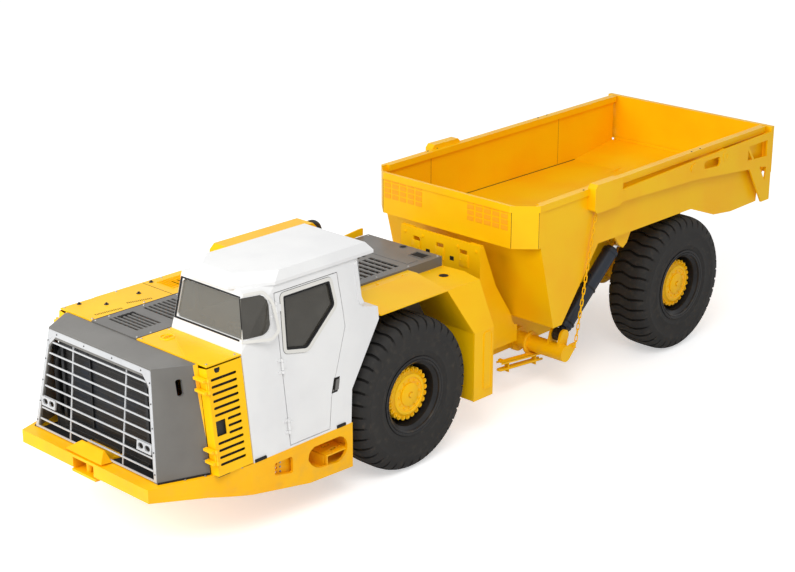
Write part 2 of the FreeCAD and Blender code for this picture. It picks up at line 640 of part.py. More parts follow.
def frame_beam():
    """Left longitudinal beam, hollow ahead of the rear axle."""
    x0 = BULKHEAD_X - BULKHEAD_T
    outline = [(x0, 400), (x0, 830), (BELLY_FOOT_X - 110, 790), (BELLY_REAR_X - 60, 1480),
               (TIP_PIVOT_X + 500, FLOOR_Z - 80), (TIP_PIVOT_X + 160, TIP_PIVOT_Z + 170),
               (TIP_PIVOT_X - 110, TIP_PIVOT_Z + 100), (TIP_PIVOT_X - 150, TIP_PIVOT_Z - 140),
               (REAR_AXLE_X - 420, BEAM_SEAT_Z), (REAR_AXLE_X + 500, BEAM_SEAT_Z),
               (REAR_AXLE_X + 900, 420)]
    hollow = [(x0 - 30, 430), (x0 - 30, 790), (BELLY_FOOT_X - 90, 750), (REAR_AXLE_X + 880, 460)]
    return prism_y(outline, BEAM_Y - BEAM_T, BEAM_Y).cut(
        prism_y(hollow, BEAM_Y - BEAM_T + 25, BEAM_Y - 25))


def hoist_foot_ears():
    """Ears and pin on the cross tube for the foot of the left tipping cylinder."""
    pieces = []
    inner = HOIST_EYE_T / 2 + HOIST_EAR_GAP
    for y0 in (HOIST_Y - inner - HOIST_EAR_T, HOIST_Y + inner):
        y1 = y0 + HOIST_EAR_T
        pieces.append(crossbar(HOIST_FOOT_X, y0, y1, HOIST_FOOT_Z, HOIST_EYE_R + 2))
        pieces.append(prism_y([(CROSS_TUBE_X + 75, CROSS_TUBE_Z + 10),
                               (HOIST_FOOT_X + 66, HOIST_FOOT_Z + 20),
                               (HOIST_FOOT_X - 66, HOIST_FOOT_Z + 20),
                               (CROSS_TUBE_X - 80, CROSS_TUBE_Z + 10)], y0, y1))
    reach = inner + HOIST_EAR_T - 4
    pieces.append(crossbar(HOIST_FOOT_X, HOIST_Y - reach, HOIST_Y + reach, HOIST_FOOT_Z,
                           HOIST_PIN_R - PIN_GAP))
    return pieces


def chain_foot():
    """Bracket and pin at the left end of the cross tube that hold the lowest link."""
    x = CROSS_TUBE_X
    z = CROSS_TUBE_Z
    plate = prism_y([(x + 70, z - 60), (x + 70, z + 40), (x - 60, z + 95), (x - 140, z + 95),
                     (x - 140, z + 20), (x - 60, z - 60)], CROSS_TUBE_END - 12, CROSS_TUBE_END + 2)
    return [plate, crossbar(CHAIN_FOOT_X, CROSS_TUBE_END - 12, CHAIN_Y + LINK_BAR, CHAIN_FOOT_Z,
                            CHAIN_PIN_R)]


def rear_frame():
    """Side beams, tower in front of the box, bulkhead, cross tube and tail ears."""
    side = tower_side()
    pocket = prism_y(side, TOWER_Y - 110, TOWER_Y - PLATE).common(
        block(-FAR, FAR, 0, FAR, 600, TOWER_TOP - 70))
    tower = prism_y(side, BEAM_Y - 1, TOWER_Y).cut(pocket)
    plate_x = TOWER_FRONT_X - 24
    front_plate = block(plate_x, TOWER_FRONT_X, -TOWER_Y, TOWER_Y, 1350, TOWER_TOP)
    windows = [block(plate_x - 1, TOWER_FRONT_X + 1, y - 50, y + 50, TOWER_TOP - 170, TOWER_TOP - 90)
               for y in (-330.0, 0.0, 330.0)]
    bulkhead = block(BULKHEAD_X - BULKHEAD_T, BULKHEAD_X, -BEAM_Y, BEAM_Y, 400, 1000)
    bearing = rod(V(BULKHEAD_X + 1, 0, STEER_Z), V(BULKHEAD_X - BULKHEAD_T - 1, 0, STEER_Z), TRUNNION_R)
    inner_y = BEAM_Y - 60
    ties = [crossbar(TIP_PIVOT_X + 330, -inner_y, inner_y, TIP_PIVOT_Z, 80),
            block(BELLY_REAR_X - 320, BELLY_REAR_X - 290, -inner_y, inner_y, 1000, 1440),
            crossbar(CROSS_TUBE_X, -CROSS_TUBE_END, CROSS_TUBE_END, CROSS_TUBE_Z, CROSS_TUBE_R)]
    flange = crossbar(CROSS_TUBE_X, BEAM_Y - 1, BEAM_Y + 60, CROSS_TUBE_Z, CROSS_TUBE_R + 45)
    mounts = [side_of(piece, sign) for _, sign in SIDES
              for piece in [flange] + hoist_foot_ears() + chain_foot()]
    frame = joined(both(frame_beam()) + both(tower) + [bulkhead.cut(bearing)]
                   + [cut_all(front_plate, windows)] + ties + mounts)
    return frame.cut(crossbar(TIP_PIVOT_X, -BEAM_Y - 1, BEAM_Y + 1, TIP_PIVOT_Z, TIP_PIN_R))


def hoist_ram(sign):
    """Barrel, middle stage and rod of one two-stage tipping cylinder."""
    ram = Ram(V(HOIST_FOOT_X, sign * HOIST_Y, HOIST_FOOT_Z),
              V(HOIST_HEAD_X, sign * HOIST_Y, HOIST_HEAD_Z), V(0, 1, 0))
    barrel_end = ram.length - HOIST_EYE_R - 80
    stage_end = barrel_end + 30
    rod_r = HOIST_EYE_R - 24
    stage_r = rod_r + 20
    bore_r = stage_r + 8
    start = HOIST_EYE_R + 22
    barrel = joined([ram.tube(start + 15, barrel_end, bore_r + 12, bore_r),
                     ram.solid(start, start + 17, bore_r + 6),
                     ram.solid(45, start + 2, HOIST_PIN_R + 1),
                     ram.tube(barrel_end - 40, barrel_end, bore_r + 18, stage_r + PIN_GAP),
                     ram.disc(0, HOIST_EYE_R, HOIST_EYE_T)])
    barrel = barrel.cut(ram.disc(0, HOIST_PIN_R, HOIST_EYE_T))
    stage = joined([ram.tube(start + 20, stage_end, stage_r, stage_r - 11),
                    ram.tube(start + 20, start + 50, bore_r - PIN_GAP, stage_r - 11),
                    ram.tube(stage_end - 40, stage_end, stage_r, rod_r + PIN_GAP)])
    stem = joined([ram.solid(start + 60, ram.length - 30, rod_r),
                   ram.solid(start + 60, start + 90, stage_r - 11 - PIN_GAP),
                   ram.disc(ram.length, HOIST_EYE_R, HOIST_EYE_T)])
    return barrel, stage, stem


# ---------------------------------------------------------------- dump box
def box_profile(wall):
    """Side outline of the box body, moved in by a wall thickness."""
    over = 40 if wall else 0
    tail = TAIL_X + 90 - wall * 6
    return [(BELLY_TOP_X - wall, RIM_HEIGHT + over), (BELLY_TOP_X - wall, APRON_BOTTOM),
            (BELLY_FOOT_X - wall, BELLY_FOOT_Z + wall), (BELLY_FOOT_X - 140, BELLY_FOOT_Z + wall),
            (BELLY_REAR_X - 30, FLOOR_Z + wall), (TIP_PIVOT_X - 60, FLOOR_Z + wall),
            (tail, FLOOR_Z + 130 + wall), (tail, RIM_HEIGHT + TAIL_RISE + over)]


def apron_plan(inset, side):
    """Plan of the apron with bevelled corners, from the front face back to the walls."""
    front = BOX_FRONT_X - inset
    bevel = side - inset - BOX_WIDTH * 0.41
    left = [(front, side - bevel), (front - bevel * 0.9, side), (BELLY_TOP_X - 60, side)]
    return left + [(x, -y) for x, y in reversed(left)]


def box_rim():
    """Folded rail along the top of the left side."""
    z0 = RIM_HEIGHT
    z1 = RIM_HEIGHT + TAIL_RISE
    return prism_y([(BELLY_TOP_X, z0 - RIM_LIP), (TAIL_X + 90, z1 - RIM_LIP), (TAIL_X + 90, z1),
                    (BELLY_TOP_X, z0)], BOX_SIDE_Y - BOX_WALL - 40, BOX_SIDE_Y + 20)


def tail_plate():
    """Deep part of the left side wall over the rear wheel's back half."""
    x = TIP_PIVOT_X
    return prism_y([(x + 600, FLOOR_Z + 10), (x + 110, FLOOR_Z - 170), (x - 240, FLOOR_Z - 210),
                    (TAIL_X + 160, FLOOR_Z - 200), (TAIL_X + 130, FLOOR_Z + 200), (x + 600, FLOOR_Z + 60)],
                   BOX_SIDE_Y - BOX_WALL, BOX_SIDE_Y)


def tip_hinge():
    """Ear under the left of the floor with its pivot pin."""
    x = TIP_PIVOT_X
    z = TIP_PIVOT_Z
    y0 = BEAM_Y + RUN_GAP
    ear = prism_y([(x + 330, FLOOR_Z + 10), (x + 90, z - 20), (x, z - 110), (x - 100, z - 20),
                   (x - 330, FLOOR_Z + 50)], y0, y0 + 60)
    return [ear, crossbar(x, BEAM_Y - BEAM_T, y0 + 84, z, TIP_PIN_R - PIN_GAP)]


def hoist_head_ears():
    """Ears under the left of the floor for the head of the tipping cylinder."""
    ears = []
    inner = HOIST_EYE_T / 2 + HOIST_EAR_GAP
    x = HOIST_HEAD_X
    z = HOIST_HEAD_Z
    for y0 in (HOIST_Y - inner - HOIST_EAR_T, HOIST_Y + inner):
        ears.append(prism_y([(x + 190, FLOOR_Z + 5), (x + 66, z - 30), (x, z - 72), (x - 66, z - 30),
                             (x - 150, FLOOR_Z + 5)], y0, y0 + HOIST_EAR_T))
    return ears


def chain_guard():
    """Rounded cover on the left side wall over the front of the tailgate arm."""
    outline = chamfered(rect(CHAIN_HEAD_X - 340, CHAIN_HEAD_X + 130, CHAIN_HEAD_Z - 90,
                             RIM_HEIGHT + 60), 40)
    way = block(CHAIN_HEAD_X - 341, CHAIN_HEAD_X + 110, BOX_SIDE_Y, ARM_OUT + RUN_GAP, 0,
                RIM_HEIGHT - RIM_LIP - 5)
    return prism_y(outline, BOX_SIDE_Y - 4, GUARD_OUT).cut(way)


def gate_trunnion():
    """Boss and stub on the left side wall on which the tailgate arm swings."""
    x = GATE_PIVOT_X
    z = GATE_PIVOT_Z
    return [crossbar(x, BOX_SIDE_Y - 5, ARM_IN - RUN_GAP, z, GATE_PIN_R + 40),
            crossbar(x, BOX_SIDE_Y - 5, ARM_OUT, z, GATE_PIN_R - PIN_GAP)]


def dump_box():
    """Open box with a belly, apron, rim, tail plates, hoist and pivot ears."""
    inner_y = BOX_SIDE_Y - BOX_WALL
    body = prism_y(box_profile(0), -BOX_SIDE_Y, BOX_SIDE_Y)
    apron = prism_z(apron_plan(0, BOX_SIDE_Y + 8), APRON_BOTTOM, RIM_HEIGHT)
    lip = prism_z(apron_plan(-14, BOX_SIDE_Y + 20), RIM_HEIGHT - RIM_LIP, RIM_HEIGHT)
    space = prism_y(box_profile(BOX_WALL), -inner_y, inner_y)
    apron_space = prism_z(apron_plan(BOX_WALL, inner_y), APRON_BOTTOM + BOX_WALL, RIM_HEIGHT + 1)
    shell = cut_all(joined([body, apron, lip]), [space, apron_space])
    side = [box_rim(), tail_plate(), chain_guard()] + tip_hinge() + hoist_head_ears() + gate_trunnion()
    return joined([shell] + [side_of(piece, sign) for _, sign in SIDES for piece in side])


# ---------------------------------------------------------------- tailgate and chains
def arm_outline():
    """Tailgate arm in (x, z), from the chain eye to the foot of the gate."""
    top = RIM_HEIGHT + TAIL_RISE - 90
    return [(CHAIN_HEAD_X - 14, CHAIN_HEAD_Z - 50), (CHAIN_HEAD_X - 14, CHAIN_HEAD_Z + 60),
            (GATE_PIVOT_X + 600, top - 10), (TAIL_X + 10, top + 30), (TAIL_X + 10, LEG_FOOT_Z),
            (TAIL_X + 175, LEG_FOOT_Z), (TAIL_X + 465, BAR_LOW_Z), (GATE_PIVOT_X + 560, GATE_PIVOT_Z - 160)]


def arm_windows():
    """Openings of the arm: a slot, a braced pair over the bar and a triangle in the leg."""
    z = GATE_PIVOT_Z
    slot = chamfered([(GATE_PIVOT_X + 120, z - 90), (GATE_PIVOT_X + 430, z - 70),
                      (GATE_PIVOT_X + 430, z + 20), (GATE_PIVOT_X + 120, z + 20)], 24)
    return [slot,
            [(TAIL_X + 120, z + 20), (TAIL_X + 120, BAR_TOP_Z), (TAIL_X + 385, BAR_TOP_Z + 12),
             (TAIL_X + 505, z + 16)],
            [(TAIL_X + 520, z - 25), (TAIL_X + 520, BAR_TOP_Z + 22), (TAIL_X + 425, BAR_TOP_Z + 18)],
            [(TAIL_X + 108, BAR_LOW_Z - 40), (TAIL_X + 260, BAR_LOW_Z - 10), (TAIL_X + 130, 1680)]]


def tailgate():
    """Rear wall with a long pierced arm on each side."""
    top = RIM_HEIGHT + TAIL_RISE
    foot = FLOOR_Z + 139
    wall = prism_y([(TAIL_X, top), (TAIL_X, foot), (TAIL_X + 30, foot), (TAIL_X + 60, top)],
                   -ARM_OUT, ARM_OUT)
    arm = cut_all(prism_y(arm_outline(), ARM_IN, ARM_OUT),
                  [prism_y(window, ARM_IN, ARM_OUT) for window in arm_windows()]
                  + [crossbar(GATE_PIVOT_X, ARM_IN, ARM_OUT, GATE_PIVOT_Z, GATE_PIN_R)])
    return joined([wall] + both(arm))


def gate_chain(sign):
    """Chain of open links from the frame foot to the front of a tailgate arm."""
    foot = V(CHAIN_FOOT_X, sign * CHAIN_Y, CHAIN_FOOT_Z)
    run = V(CHAIN_HEAD_X, sign * CHAIN_Y, CHAIN_HEAD_Z) - foot
    count = int(run.Length / LINK_PITCH)
    pitch = run.Length / count
    half = (pitch + LINK_BAR) / 2
    wide = LINK_WIDE / 2
    outline = rect(-half, half, -wide, wide)
    hole = rect(LINK_BAR - half, half - LINK_BAR, LINK_BAR - wide, wide - LINK_BAR)
    links = []
    for index in range(count):
        link = prism_z(outline, -LINK_BAR / 2, LINK_BAR / 2).cut(prism_z(hole, -LINK_BAR, LINK_BAR))
        link.rotate(V(0, 0, 0), V(1, 0, 0), 90 if index % 2 == 0 else 0)
        link.translate(V((index + 0.5) * pitch - CHAIN_PIN_R - SEAT_GAP - LINK_BAR / 2, 0, 0))
        links.append(link)
    chain = joined(links)
    chain.Placement = FreeCAD.Placement(foot, FreeCAD.Rotation(V(1, 0, 0), run))
    return chain


# ---------------------------------------------------------------- radiator cowl and grille
COWL_STEP = 110.0           # cowl side inboard of the louvred door
COWL_WALL = 24.0
COWL_NOSE = NOSE_X - 130.0
COWL_FRONT_LOW = (COWL_NOSE, SIDE_FOOT - 281)
COWL_FRONT_HIGH = (COWL_NOSE - 112, SIDE_FOOT - 436)
COWL_REAR_LOW = (LOUVRE_FRONT_X, side_y(DECK_HEIGHT) - COWL_STEP)
COWL_REAR_HIGH = (LOUVRE_FRONT_X - 10, side_y(COWL_TOP) - COWL_STEP)
GRILLE_BAND = 62.0
GRILLE_BARS = 7
GRILLE_BAR_FOOT = DECK_HEIGHT + 150
GRILLE_BAR_PITCH = 95.0
GRILLE_BAR = 20.0
LOUVRE_HINGE_Z = (DECK_HEIGHT + 190, HOOD_HEIGHT - 170)


def cowl_volume(inset, front_inset, z0, z1):
    """Tapered cowl volume, with its sides moved in by inset."""
    def ring(z):
        share = (z - DECK_HEIGHT) / (COWL_TOP - DECK_HEIGHT)
        fx = COWL_FRONT_LOW[0] + share * (COWL_FRONT_HIGH[0] - COWL_FRONT_LOW[0]) - front_inset
        fy = COWL_FRONT_LOW[1] + share * (COWL_FRONT_HIGH[1] - COWL_FRONT_LOW[1]) - inset
        rx = COWL_REAR_LOW[0] + share * (COWL_REAR_HIGH[0] - COWL_REAR_LOW[0])
        ry = COWL_REAR_LOW[1] + share * (COWL_REAR_HIGH[1] - COWL_REAR_LOW[1]) - inset
        return [V(fx, -fy, z), V(fx, fy, z), V(rx, ry, z), V(rx, -ry, z)]
    return loft(ring(z0), ring(z1))


def grille_prism(inset, z_low):
    """Radiator mouth as a solid along X, wide below and with cut upper corners."""
    low = COWL_FRONT_LOW[1] - 49
    high = COWL_FRONT_HIGH[1] - 24
    top = COWL_TOP - 90
    outline = [(inset - low, z_low), (low - inset, z_low), (high - inset, top - 90),
               (high - 65 - inset, top - inset), (inset - high + 65, top - inset), (inset - high, top - 90)]
    return prism_x(outline, LOUVRE_FRONT_X + 100, NOSE_X)


def radiator_cowl():
    """Grey housing round the radiator, open at the front, the back and below."""
    outer = cowl_volume(0, 0, DECK_HEIGHT + SEAT_GAP, COWL_TOP)
    inner = cowl_volume(COWL_WALL, COWL_WALL, DECK_HEIGHT, COWL_TOP - COWL_WALL)
    back = block(LOUVRE_FRONT_X - 60, LOUVRE_FRONT_X + 40, 385 - SIDE_FOOT, SIDE_FOOT - 385, DECK_HEIGHT,
                 COWL_TOP - COWL_WALL)
    slot = prism_y(chamfered(rect(LOUVRE_FRONT_X + 120, LOUVRE_FRONT_X + 175, COWL_TOP - 260,
                                  COWL_TOP - 110), 14), 700, FAR)
    shell = cut_all(outer, [inner.fuse(back), grille_prism(0, DECK_HEIGHT)] + both(slot))
    lugs = hinge_lugs(LOUVRE_FRONT_X, LOUVRE_HINGE_Z, COWL_STEP + 18)
    return joined([shell] + lugs + [mirrored(lug) for lug in lugs])


def radiator_grille():
    """Silver surround with its level bars and two uprights."""
    front = cowl_volume(0, 2, DECK_HEIGHT + 10, COWL_TOP)
    back = cowl_volume(-60, 30, DECK_HEIGHT, COWL_TOP + 10)
    behind = block(LOUVRE_FRONT_X - 60, LOUVRE_FRONT_X + 60, -FAR, FAR, 0, 2 * COWL_TOP)
    skin = front.cut(back.fuse(behind))
    below = block(LOUVRE_FRONT_X, NOSE_X + 1, -FAR, FAR, 0, DECK_HEIGHT + 30)
    opening = grille_prism(SEAT_GAP, DECK_HEIGHT).cut(below)
    clear = grille_prism(GRILLE_BAND, DECK_HEIGHT - 1)
    bars = []
    for index in range(GRILLE_BARS):
        z = GRILLE_BAR_FOOT + index * GRILLE_BAR_PITCH
        bars.append(block(LOUVRE_FRONT_X + 100, NOSE_X, -FAR, FAR, z, z + GRILLE_BAR))
    uprights = both(block(LOUVRE_FRONT_X + 100, NOSE_X, 630, 650, DECK_HEIGHT + 110, COWL_TOP - 120))
    grid = joined(bars + uprights).common(clear)
    return skin.common(opening.cut(clear).fuse(grid))


def radiator_core():
    """Finned radiator block behind the grille."""
    front = COWL_FRONT_HIGH[0] - 60
    half = SIDE_FOOT - RADIATOR_INSET
    return block(front - 170, front, -half, half, DECK_HEIGHT + SEAT_GAP, COWL_TOP - 90)


ENGINE_REAR_X = FRONT_AXLE_X + 1250.0
ENGINE_FRONT_X = FRONT_AXLE_X + 2400.0


def engine_block():
    """Diesel engine as one mass on the frame's cross members."""
    return block(ENGINE_REAR_X, ENGINE_FRONT_X, 40 - FRAME_Y, 60, ENGINE_Z, HOOD_HEIGHT - 230)


# ---------------------------------------------------------------- engine covers
CAB_RIGHT_Y = 100.0
HOOD_SPLIT_Y = -560.0
HOOD_REAR_X = FRONT_AXLE_X + 700.0
HOOD_FRONT_X = LOUVRE_FRONT_X - 14.0
SLOT_ROWS = 13
SLOT_PITCH = 62.0
SLOT_TALL = 22.0
DOOR_SKIN = 34.0
REAR_HOOD_Y = 520.0


def louvred_door():
    """Left service door, a leaning panel with rows of slots and an air vent."""
    x0 = CAB_FRONT_X + DOOR_GAP
    x1 = LOUVRE_FRONT_X - DOOR_GAP
    z0 = DECK_HEIGHT + DOOR_GAP
    panel = leaning_slab(x0, x1, z0, HOOD_HEIGHT - SHEET - DOOR_GAP - 4, 0, DOOR_SKIN)
    holes = []
    for index in range(SLOT_ROWS):
        z = z0 + 82 + index * SLOT_PITCH
        low = 150 if 4 <= index <= 6 else 0
        holes.append(chamfered(rect(x0 + 90 + low, x1 - 70, z, z + SLOT_TALL), 6))
    holes.append(rect(x0 + 80, x0 + 200, z0 + 330, z0 + 477))
    holes.append(chamfered(rect(x0 + 160, x0 + 220, z0 + 892, z0 + 947), 16))
    panel = cut_all(panel, [Part.makeCompound([prism_y(hole, 900, FAR) for hole in holes])])
    return joined([panel] + hinge_knuckles(LOUVRE_FRONT_X, LOUVRE_HINGE_Z))


def grating(x0, x1, y0, y1, pitch):
    """Rows of slots through a cover."""
    count = int((x1 - x0) / pitch)
    step = (x1 - x0) / count
    return [block(x0 + (index + 0.2) * step, x0 + (index + 0.8) * step, y0, y1, HOOD_HEIGHT - 50,
                  HOOD_HEIGHT + 50) for index in range(count)]


def centre_hood():
    """Grey cover over the engine, with gratings."""
    top = block(HOOD_REAR_X, HOOD_FRONT_X, HOOD_SPLIT_Y, CAB_RIGHT_Y - 8, HOOD_HEIGHT - SHEET, HOOD_HEIGHT)
    slots = []
    for near, far in ((120, 420), (520, 900), (1000, 1400)):
        slots += grating(HOOD_FRONT_X - far, HOOD_FRONT_X - near, HOOD_SPLIT_Y + 80, CAB_RIGHT_Y - 160, 50)
    skirt = block(HOOD_REAR_X, HOOD_FRONT_X, HOOD_SPLIT_Y, HOOD_SPLIT_Y + SHEET, HOOD_HEIGHT - 90,
                  HOOD_HEIGHT - SHEET)
    wall = block(HOOD_REAR_X, CAB_FRONT_X - 4, CAB_RIGHT_Y - 20, CAB_RIGHT_Y - 8, DECK_HEIGHT + 1,
                 HOOD_HEIGHT - SHEET)
    return joined([top.cut(Part.makeCompound(slots)), skirt, wall])


def left_cover():
    """Yellow top cover ahead of the cab."""
    x0 = CAB_FRONT_X + 4
    top = block(x0, HOOD_FRONT_X, CAB_RIGHT_Y - 5, side_y(HOOD_HEIGHT) - 2, HOOD_HEIGHT - SHEET, HOOD_HEIGHT)
    wall = block(x0, x0 + SHEET, CAB_RIGHT_Y - 5, SIDE_FOOT - 190, DECK_HEIGHT, HOOD_HEIGHT - SHEET)
    return joined([top, wall])


def right_hood():
    """Right engine cover, a leaning side wall and the top strip over it."""
    x0 = FRONT_AXLE_X + 900
    top = block(x0, HOOD_FRONT_X, -side_y(HOOD_HEIGHT) + 8, HOOD_SPLIT_Y, HOOD_HEIGHT - SHEET, HOOD_HEIGHT)
    top = top.cut(Part.makeCompound(grating(x0 + 120, x0 + 420, HOOD_SPLIT_Y - 300, HOOD_SPLIT_Y - 100, 60)))
    side = mirrored(leaning_slab(x0, CAB_FRONT_X, DECK_HEIGHT, HOOD_HEIGHT, 0, 24))
    rear = block(x0, x0 + SHEET, 190 - SIDE_FOOT, HOOD_SPLIT_Y, DECK_HEIGHT, HOOD_HEIGHT - SHEET)
    return joined([top, side, rear])


def rear_hood():
    """Grey slatted cover behind the cab, on two side walls."""
    x0 = FRONT_AXLE_X - 1060
    x1 = FRONT_AXLE_X + 380
    foot_z = RAIL_TAIL_Z
    top = block(x0, x1, -REAR_HOOD_Y, REAR_HOOD_Y, HOOD_HEIGHT - SHEET, HOOD_HEIGHT)
    slots = grating(x0 + 500, x1 - 80, 30, REAR_HOOD_Y - 100, 80)
    top = top.cut(Part.makeCompound([piece for slot in slots for piece in both(slot)]))
    wall = block(x0, x1, REAR_HOOD_Y - SHEET, REAR_HOOD_Y, foot_z, HOOD_HEIGHT - SHEET)
    foot = block(x0, x1, FRAME_Y, REAR_HOOD_Y, foot_z, foot_z + SHEET)
    back = block(x0, x0 + SHEET, -REAR_HOOD_Y, REAR_HOOD_Y, RAIL_ARCH_Z + 120, HOOD_HEIGHT - SHEET)
    return joined([top, back] + both(wall) + both(foot))


# ---------------------------------------------------------------- front fenders
FENDER_IN_Y = REAR_HOOD_Y
FENDER_LIP_Z = HOOD_HEIGHT - 100
FENDER_TOP_Z = HOOD_HEIGHT - 20
SHOULDER_Y = 640.0
GUARD_Y = SIDE_FOOT + 7.0
GUARD_BEND_Z = 1190.0
GUARD_FOOT_Z = 460.0
GUARD_FRONT_X = FRONT_AXLE_X - 830.0
SHOULDER_REAR_X = FRONT_AXLE_X - 560.0


def shoulder_z(y):
    """Height of the fender's sloped shoulder at half width y."""
    share = (y - SHOULDER_Y) / (side_y(FENDER_LIP_Z) - SHOULDER_Y)
    return FENDER_TOP_Z - share * (FENDER_TOP_Z - FENDER_LIP_Z)


def fender():
    """Left fender: sloped shoulder, flat deck and the bent mudguard behind the wheel."""
    front = FRONT_AXLE_X + 370
    rear = SHOULDER_REAR_X
    lip_z = FENDER_LIP_Z
    lip_y = side_y(lip_z)
    under = lip_z - SHEET
    shoulder = prism_x([(FENDER_IN_Y, FENDER_TOP_Z - 2), (SHOULDER_Y, FENDER_TOP_Z), (lip_y, lip_z),
                        (lip_y, under), (FENDER_IN_Y, under)], rear, front)
    hollow = prism_x([(FENDER_IN_Y + SHEET, FENDER_TOP_Z - 2 - SHEET), (SHOULDER_Y, FENDER_TOP_Z - SHEET),
                      (lip_y - 90, under), (FENDER_IN_Y + SHEET, under)], rear + SHEET, front - SHEET)
    tail = FRONT_UNIT_REAR_X
    deck = prism_z([(rear, FENDER_IN_Y), (rear, lip_y), (tail + 112, lip_y + 20), (tail + 30, 800),
                    (tail + 50, FENDER_IN_Y)], under, lip_z)
    x0 = GUARD_FRONT_X
    y0 = GUARD_Y - SHEET
    flank = loft([V(x0, GUARD_Y, GUARD_BEND_Z), V(tail, GUARD_Y, GUARD_BEND_Z), V(tail, y0, GUARD_BEND_Z),
                  V(x0, y0, GUARD_BEND_Z)],
                 [V(rear, lip_y, under), V(tail + 112, lip_y + 20, under),
                  V(tail + 112, lip_y + 20 - SHEET, under), V(rear, lip_y - SHEET, under)])
    low = block(tail, x0, SHOULDER_Y, GUARD_Y, GUARD_FOOT_Z, GUARD_BEND_Z)
    wheel_side = block(tail + SHEET, x0 + 1, SHOULDER_Y + SHEET, y0, GUARD_FOOT_Z - 1, GUARD_BEND_Z + 1)
    return joined([shoulder.cut(hollow), deck, flank, low.cut(wheel_side)])


AIR_BOX_TOP = HOOD_HEIGHT + 195.0
AIR_BOX_CHAMFER = 55.0
PIPE_R = 54.0
PIPE_BEND_R = 82.0
PIPE_WALL = 8.0
PIPE_Y = -880.0
PIPE_Z = AIR_BOX_TOP - 65.0


def air_cleaner_box():
    """Raised housing over the right front wheel, chamfered at both ends."""
    outline = [(-790, shoulder_z(790) + SEAT_GAP), (-770, AIR_BOX_TOP), (-1010, AIR_BOX_TOP),
               (-1040, shoulder_z(1040) + SEAT_GAP)]
    rear = SHOULDER_REAR_X
    front = FRONT_AXLE_X + 680
    low = AIR_BOX_TOP - AIR_BOX_CHAMFER
    ends = prism_y([(rear, 0), (rear, low), (rear + AIR_BOX_CHAMFER, AIR_BOX_TOP),
                    (front - AIR_BOX_CHAMFER, AIR_BOX_TOP), (front, low), (front, 0)], -FAR, 0)
    return prism_x(outline, rear, front).common(ends)


def exhaust_pipe():
    """Elbow that rises from the fender deck and turns into the raised housing."""
    mouth = SHOULDER_REAR_X - SEAT_GAP
    bend_end = mouth - 20
    x = bend_end - PIPE_BEND_R
    low = PIPE_Z - PIPE_BEND_R
    foot = FENDER_LIP_Z + SEAT_GAP
    ring = Part.makeTorus(PIPE_BEND_R, PIPE_R, V(bend_end, PIPE_Y, low), V(0, 1, 0))
    span = 2 * PIPE_R
    quarter = block(x - span, bend_end, PIPE_Y - span, PIPE_Y + span, low, AIR_BOX_TOP + PIPE_R)
    pipe = joined([upright(x, PIPE_Y, foot, low, PIPE_R), ring.common(quarter),
                   rod(V(bend_end, PIPE_Y, PIPE_Z), V(mouth, PIPE_Y, PIPE_Z), PIPE_R),
                   upright(x, PIPE_Y, foot, foot + 14, PIPE_R + 16)])
    return pipe.cut(upright(x, PIPE_Y, foot - 1, foot + 120, PIPE_R - PIPE_WALL))


# ---------------------------------------------------------------- cab
CAB_REAR_X = FRONT_AXLE_X + 600.0
CAB_TAIL_X = FRONT_AXLE_X + 400.0       # rear shelf of the cab
CAB_TOP = CAB_ROOF_HEIGHT - 110.0
PILLAR_X = FRONT_AXLE_X + 1650.0        # hinge side of the door
DOOR_REAR_X = FRONT_AXLE_X + 835.0
CAB_FLOOR_Z = DECK_HEIGHT + CAB_WALL
SILL_Z = HOOD_HEIGHT + 90.0
SCREEN_STEP = 30.0          # foot of the windshield behind the cab front
SCREEN_RAKE = 145.0         # its top behind the cab front
SCREEN_TOP = CAB_TOP - 65.0
CAB_HINGE_Z = (DECK_HEIGHT + 210, HOOD_HEIGHT - 230, CAB_TOP - 220)


def cab_outline(inset):
    """Side outline of the cab moved in by inset."""
    front = CAB_FRONT_X - inset
    rear = CAB_REAR_X + inset
    tail = CAB_TAIL_X + inset
    return [(front, DECK_HEIGHT + inset), (front, HOOD_HEIGHT + 6), (front - SCREEN_STEP, SILL_Z),
            (front - SCREEN_RAKE, CAB_TOP - inset), (rear, CAB_TOP - inset),
            (rear, HOOD_HEIGHT + 40 - inset), (tail, HOOD_HEIGHT - 10 - inset),
            (tail, HOOD_HEIGHT - 130 + inset * 0.5),
            (tail + 430, DECK_HEIGHT + 310 + inset * 0.3), (tail + 480, DECK_HEIGHT + inset)]


def half_space(point, normal):
    """Huge box on the side of a plane that its normal points to."""
    box = Part.makeBox(FAR, FAR, FAR, V(-FAR / 2, -FAR / 2, 0))
    box.Placement = FreeCAD.Placement(point, FreeCAD.Rotation(V(0, 0, 1), normal))
    return box


def corner_face():
    """Point on the slanted front corner of the cab and its outward normal."""
    a = V(CAB_FRONT_X, side_y(HOOD_HEIGHT), HOOD_HEIGHT)
    b = V(CAB_FRONT_X - 140, SIDE_FOOT - 270, CAB_TOP - 30)
    c = V(PILLAR_X, side_y(CAB_TOP - 30), CAB_TOP - 30)
    normal = (b - a).cross(c - a).normalize()
    return a, normal if normal.y > 0 else normal * -1


def glass_mitre():
    """Point and normal of the plane between the windshield and the quarter glass."""
    point, side_normal = corner_face()
    front_normal = V(CAB_TOP - SILL_Z, 0, SCREEN_RAKE - SCREEN_STEP).normalize()
    start = V(CAB_FRONT_X - SCREEN_STEP, 0, SILL_Z)
    start.y = (point - start).dot(side_normal) / side_normal.y
    return start, (side_normal - front_normal).normalize()


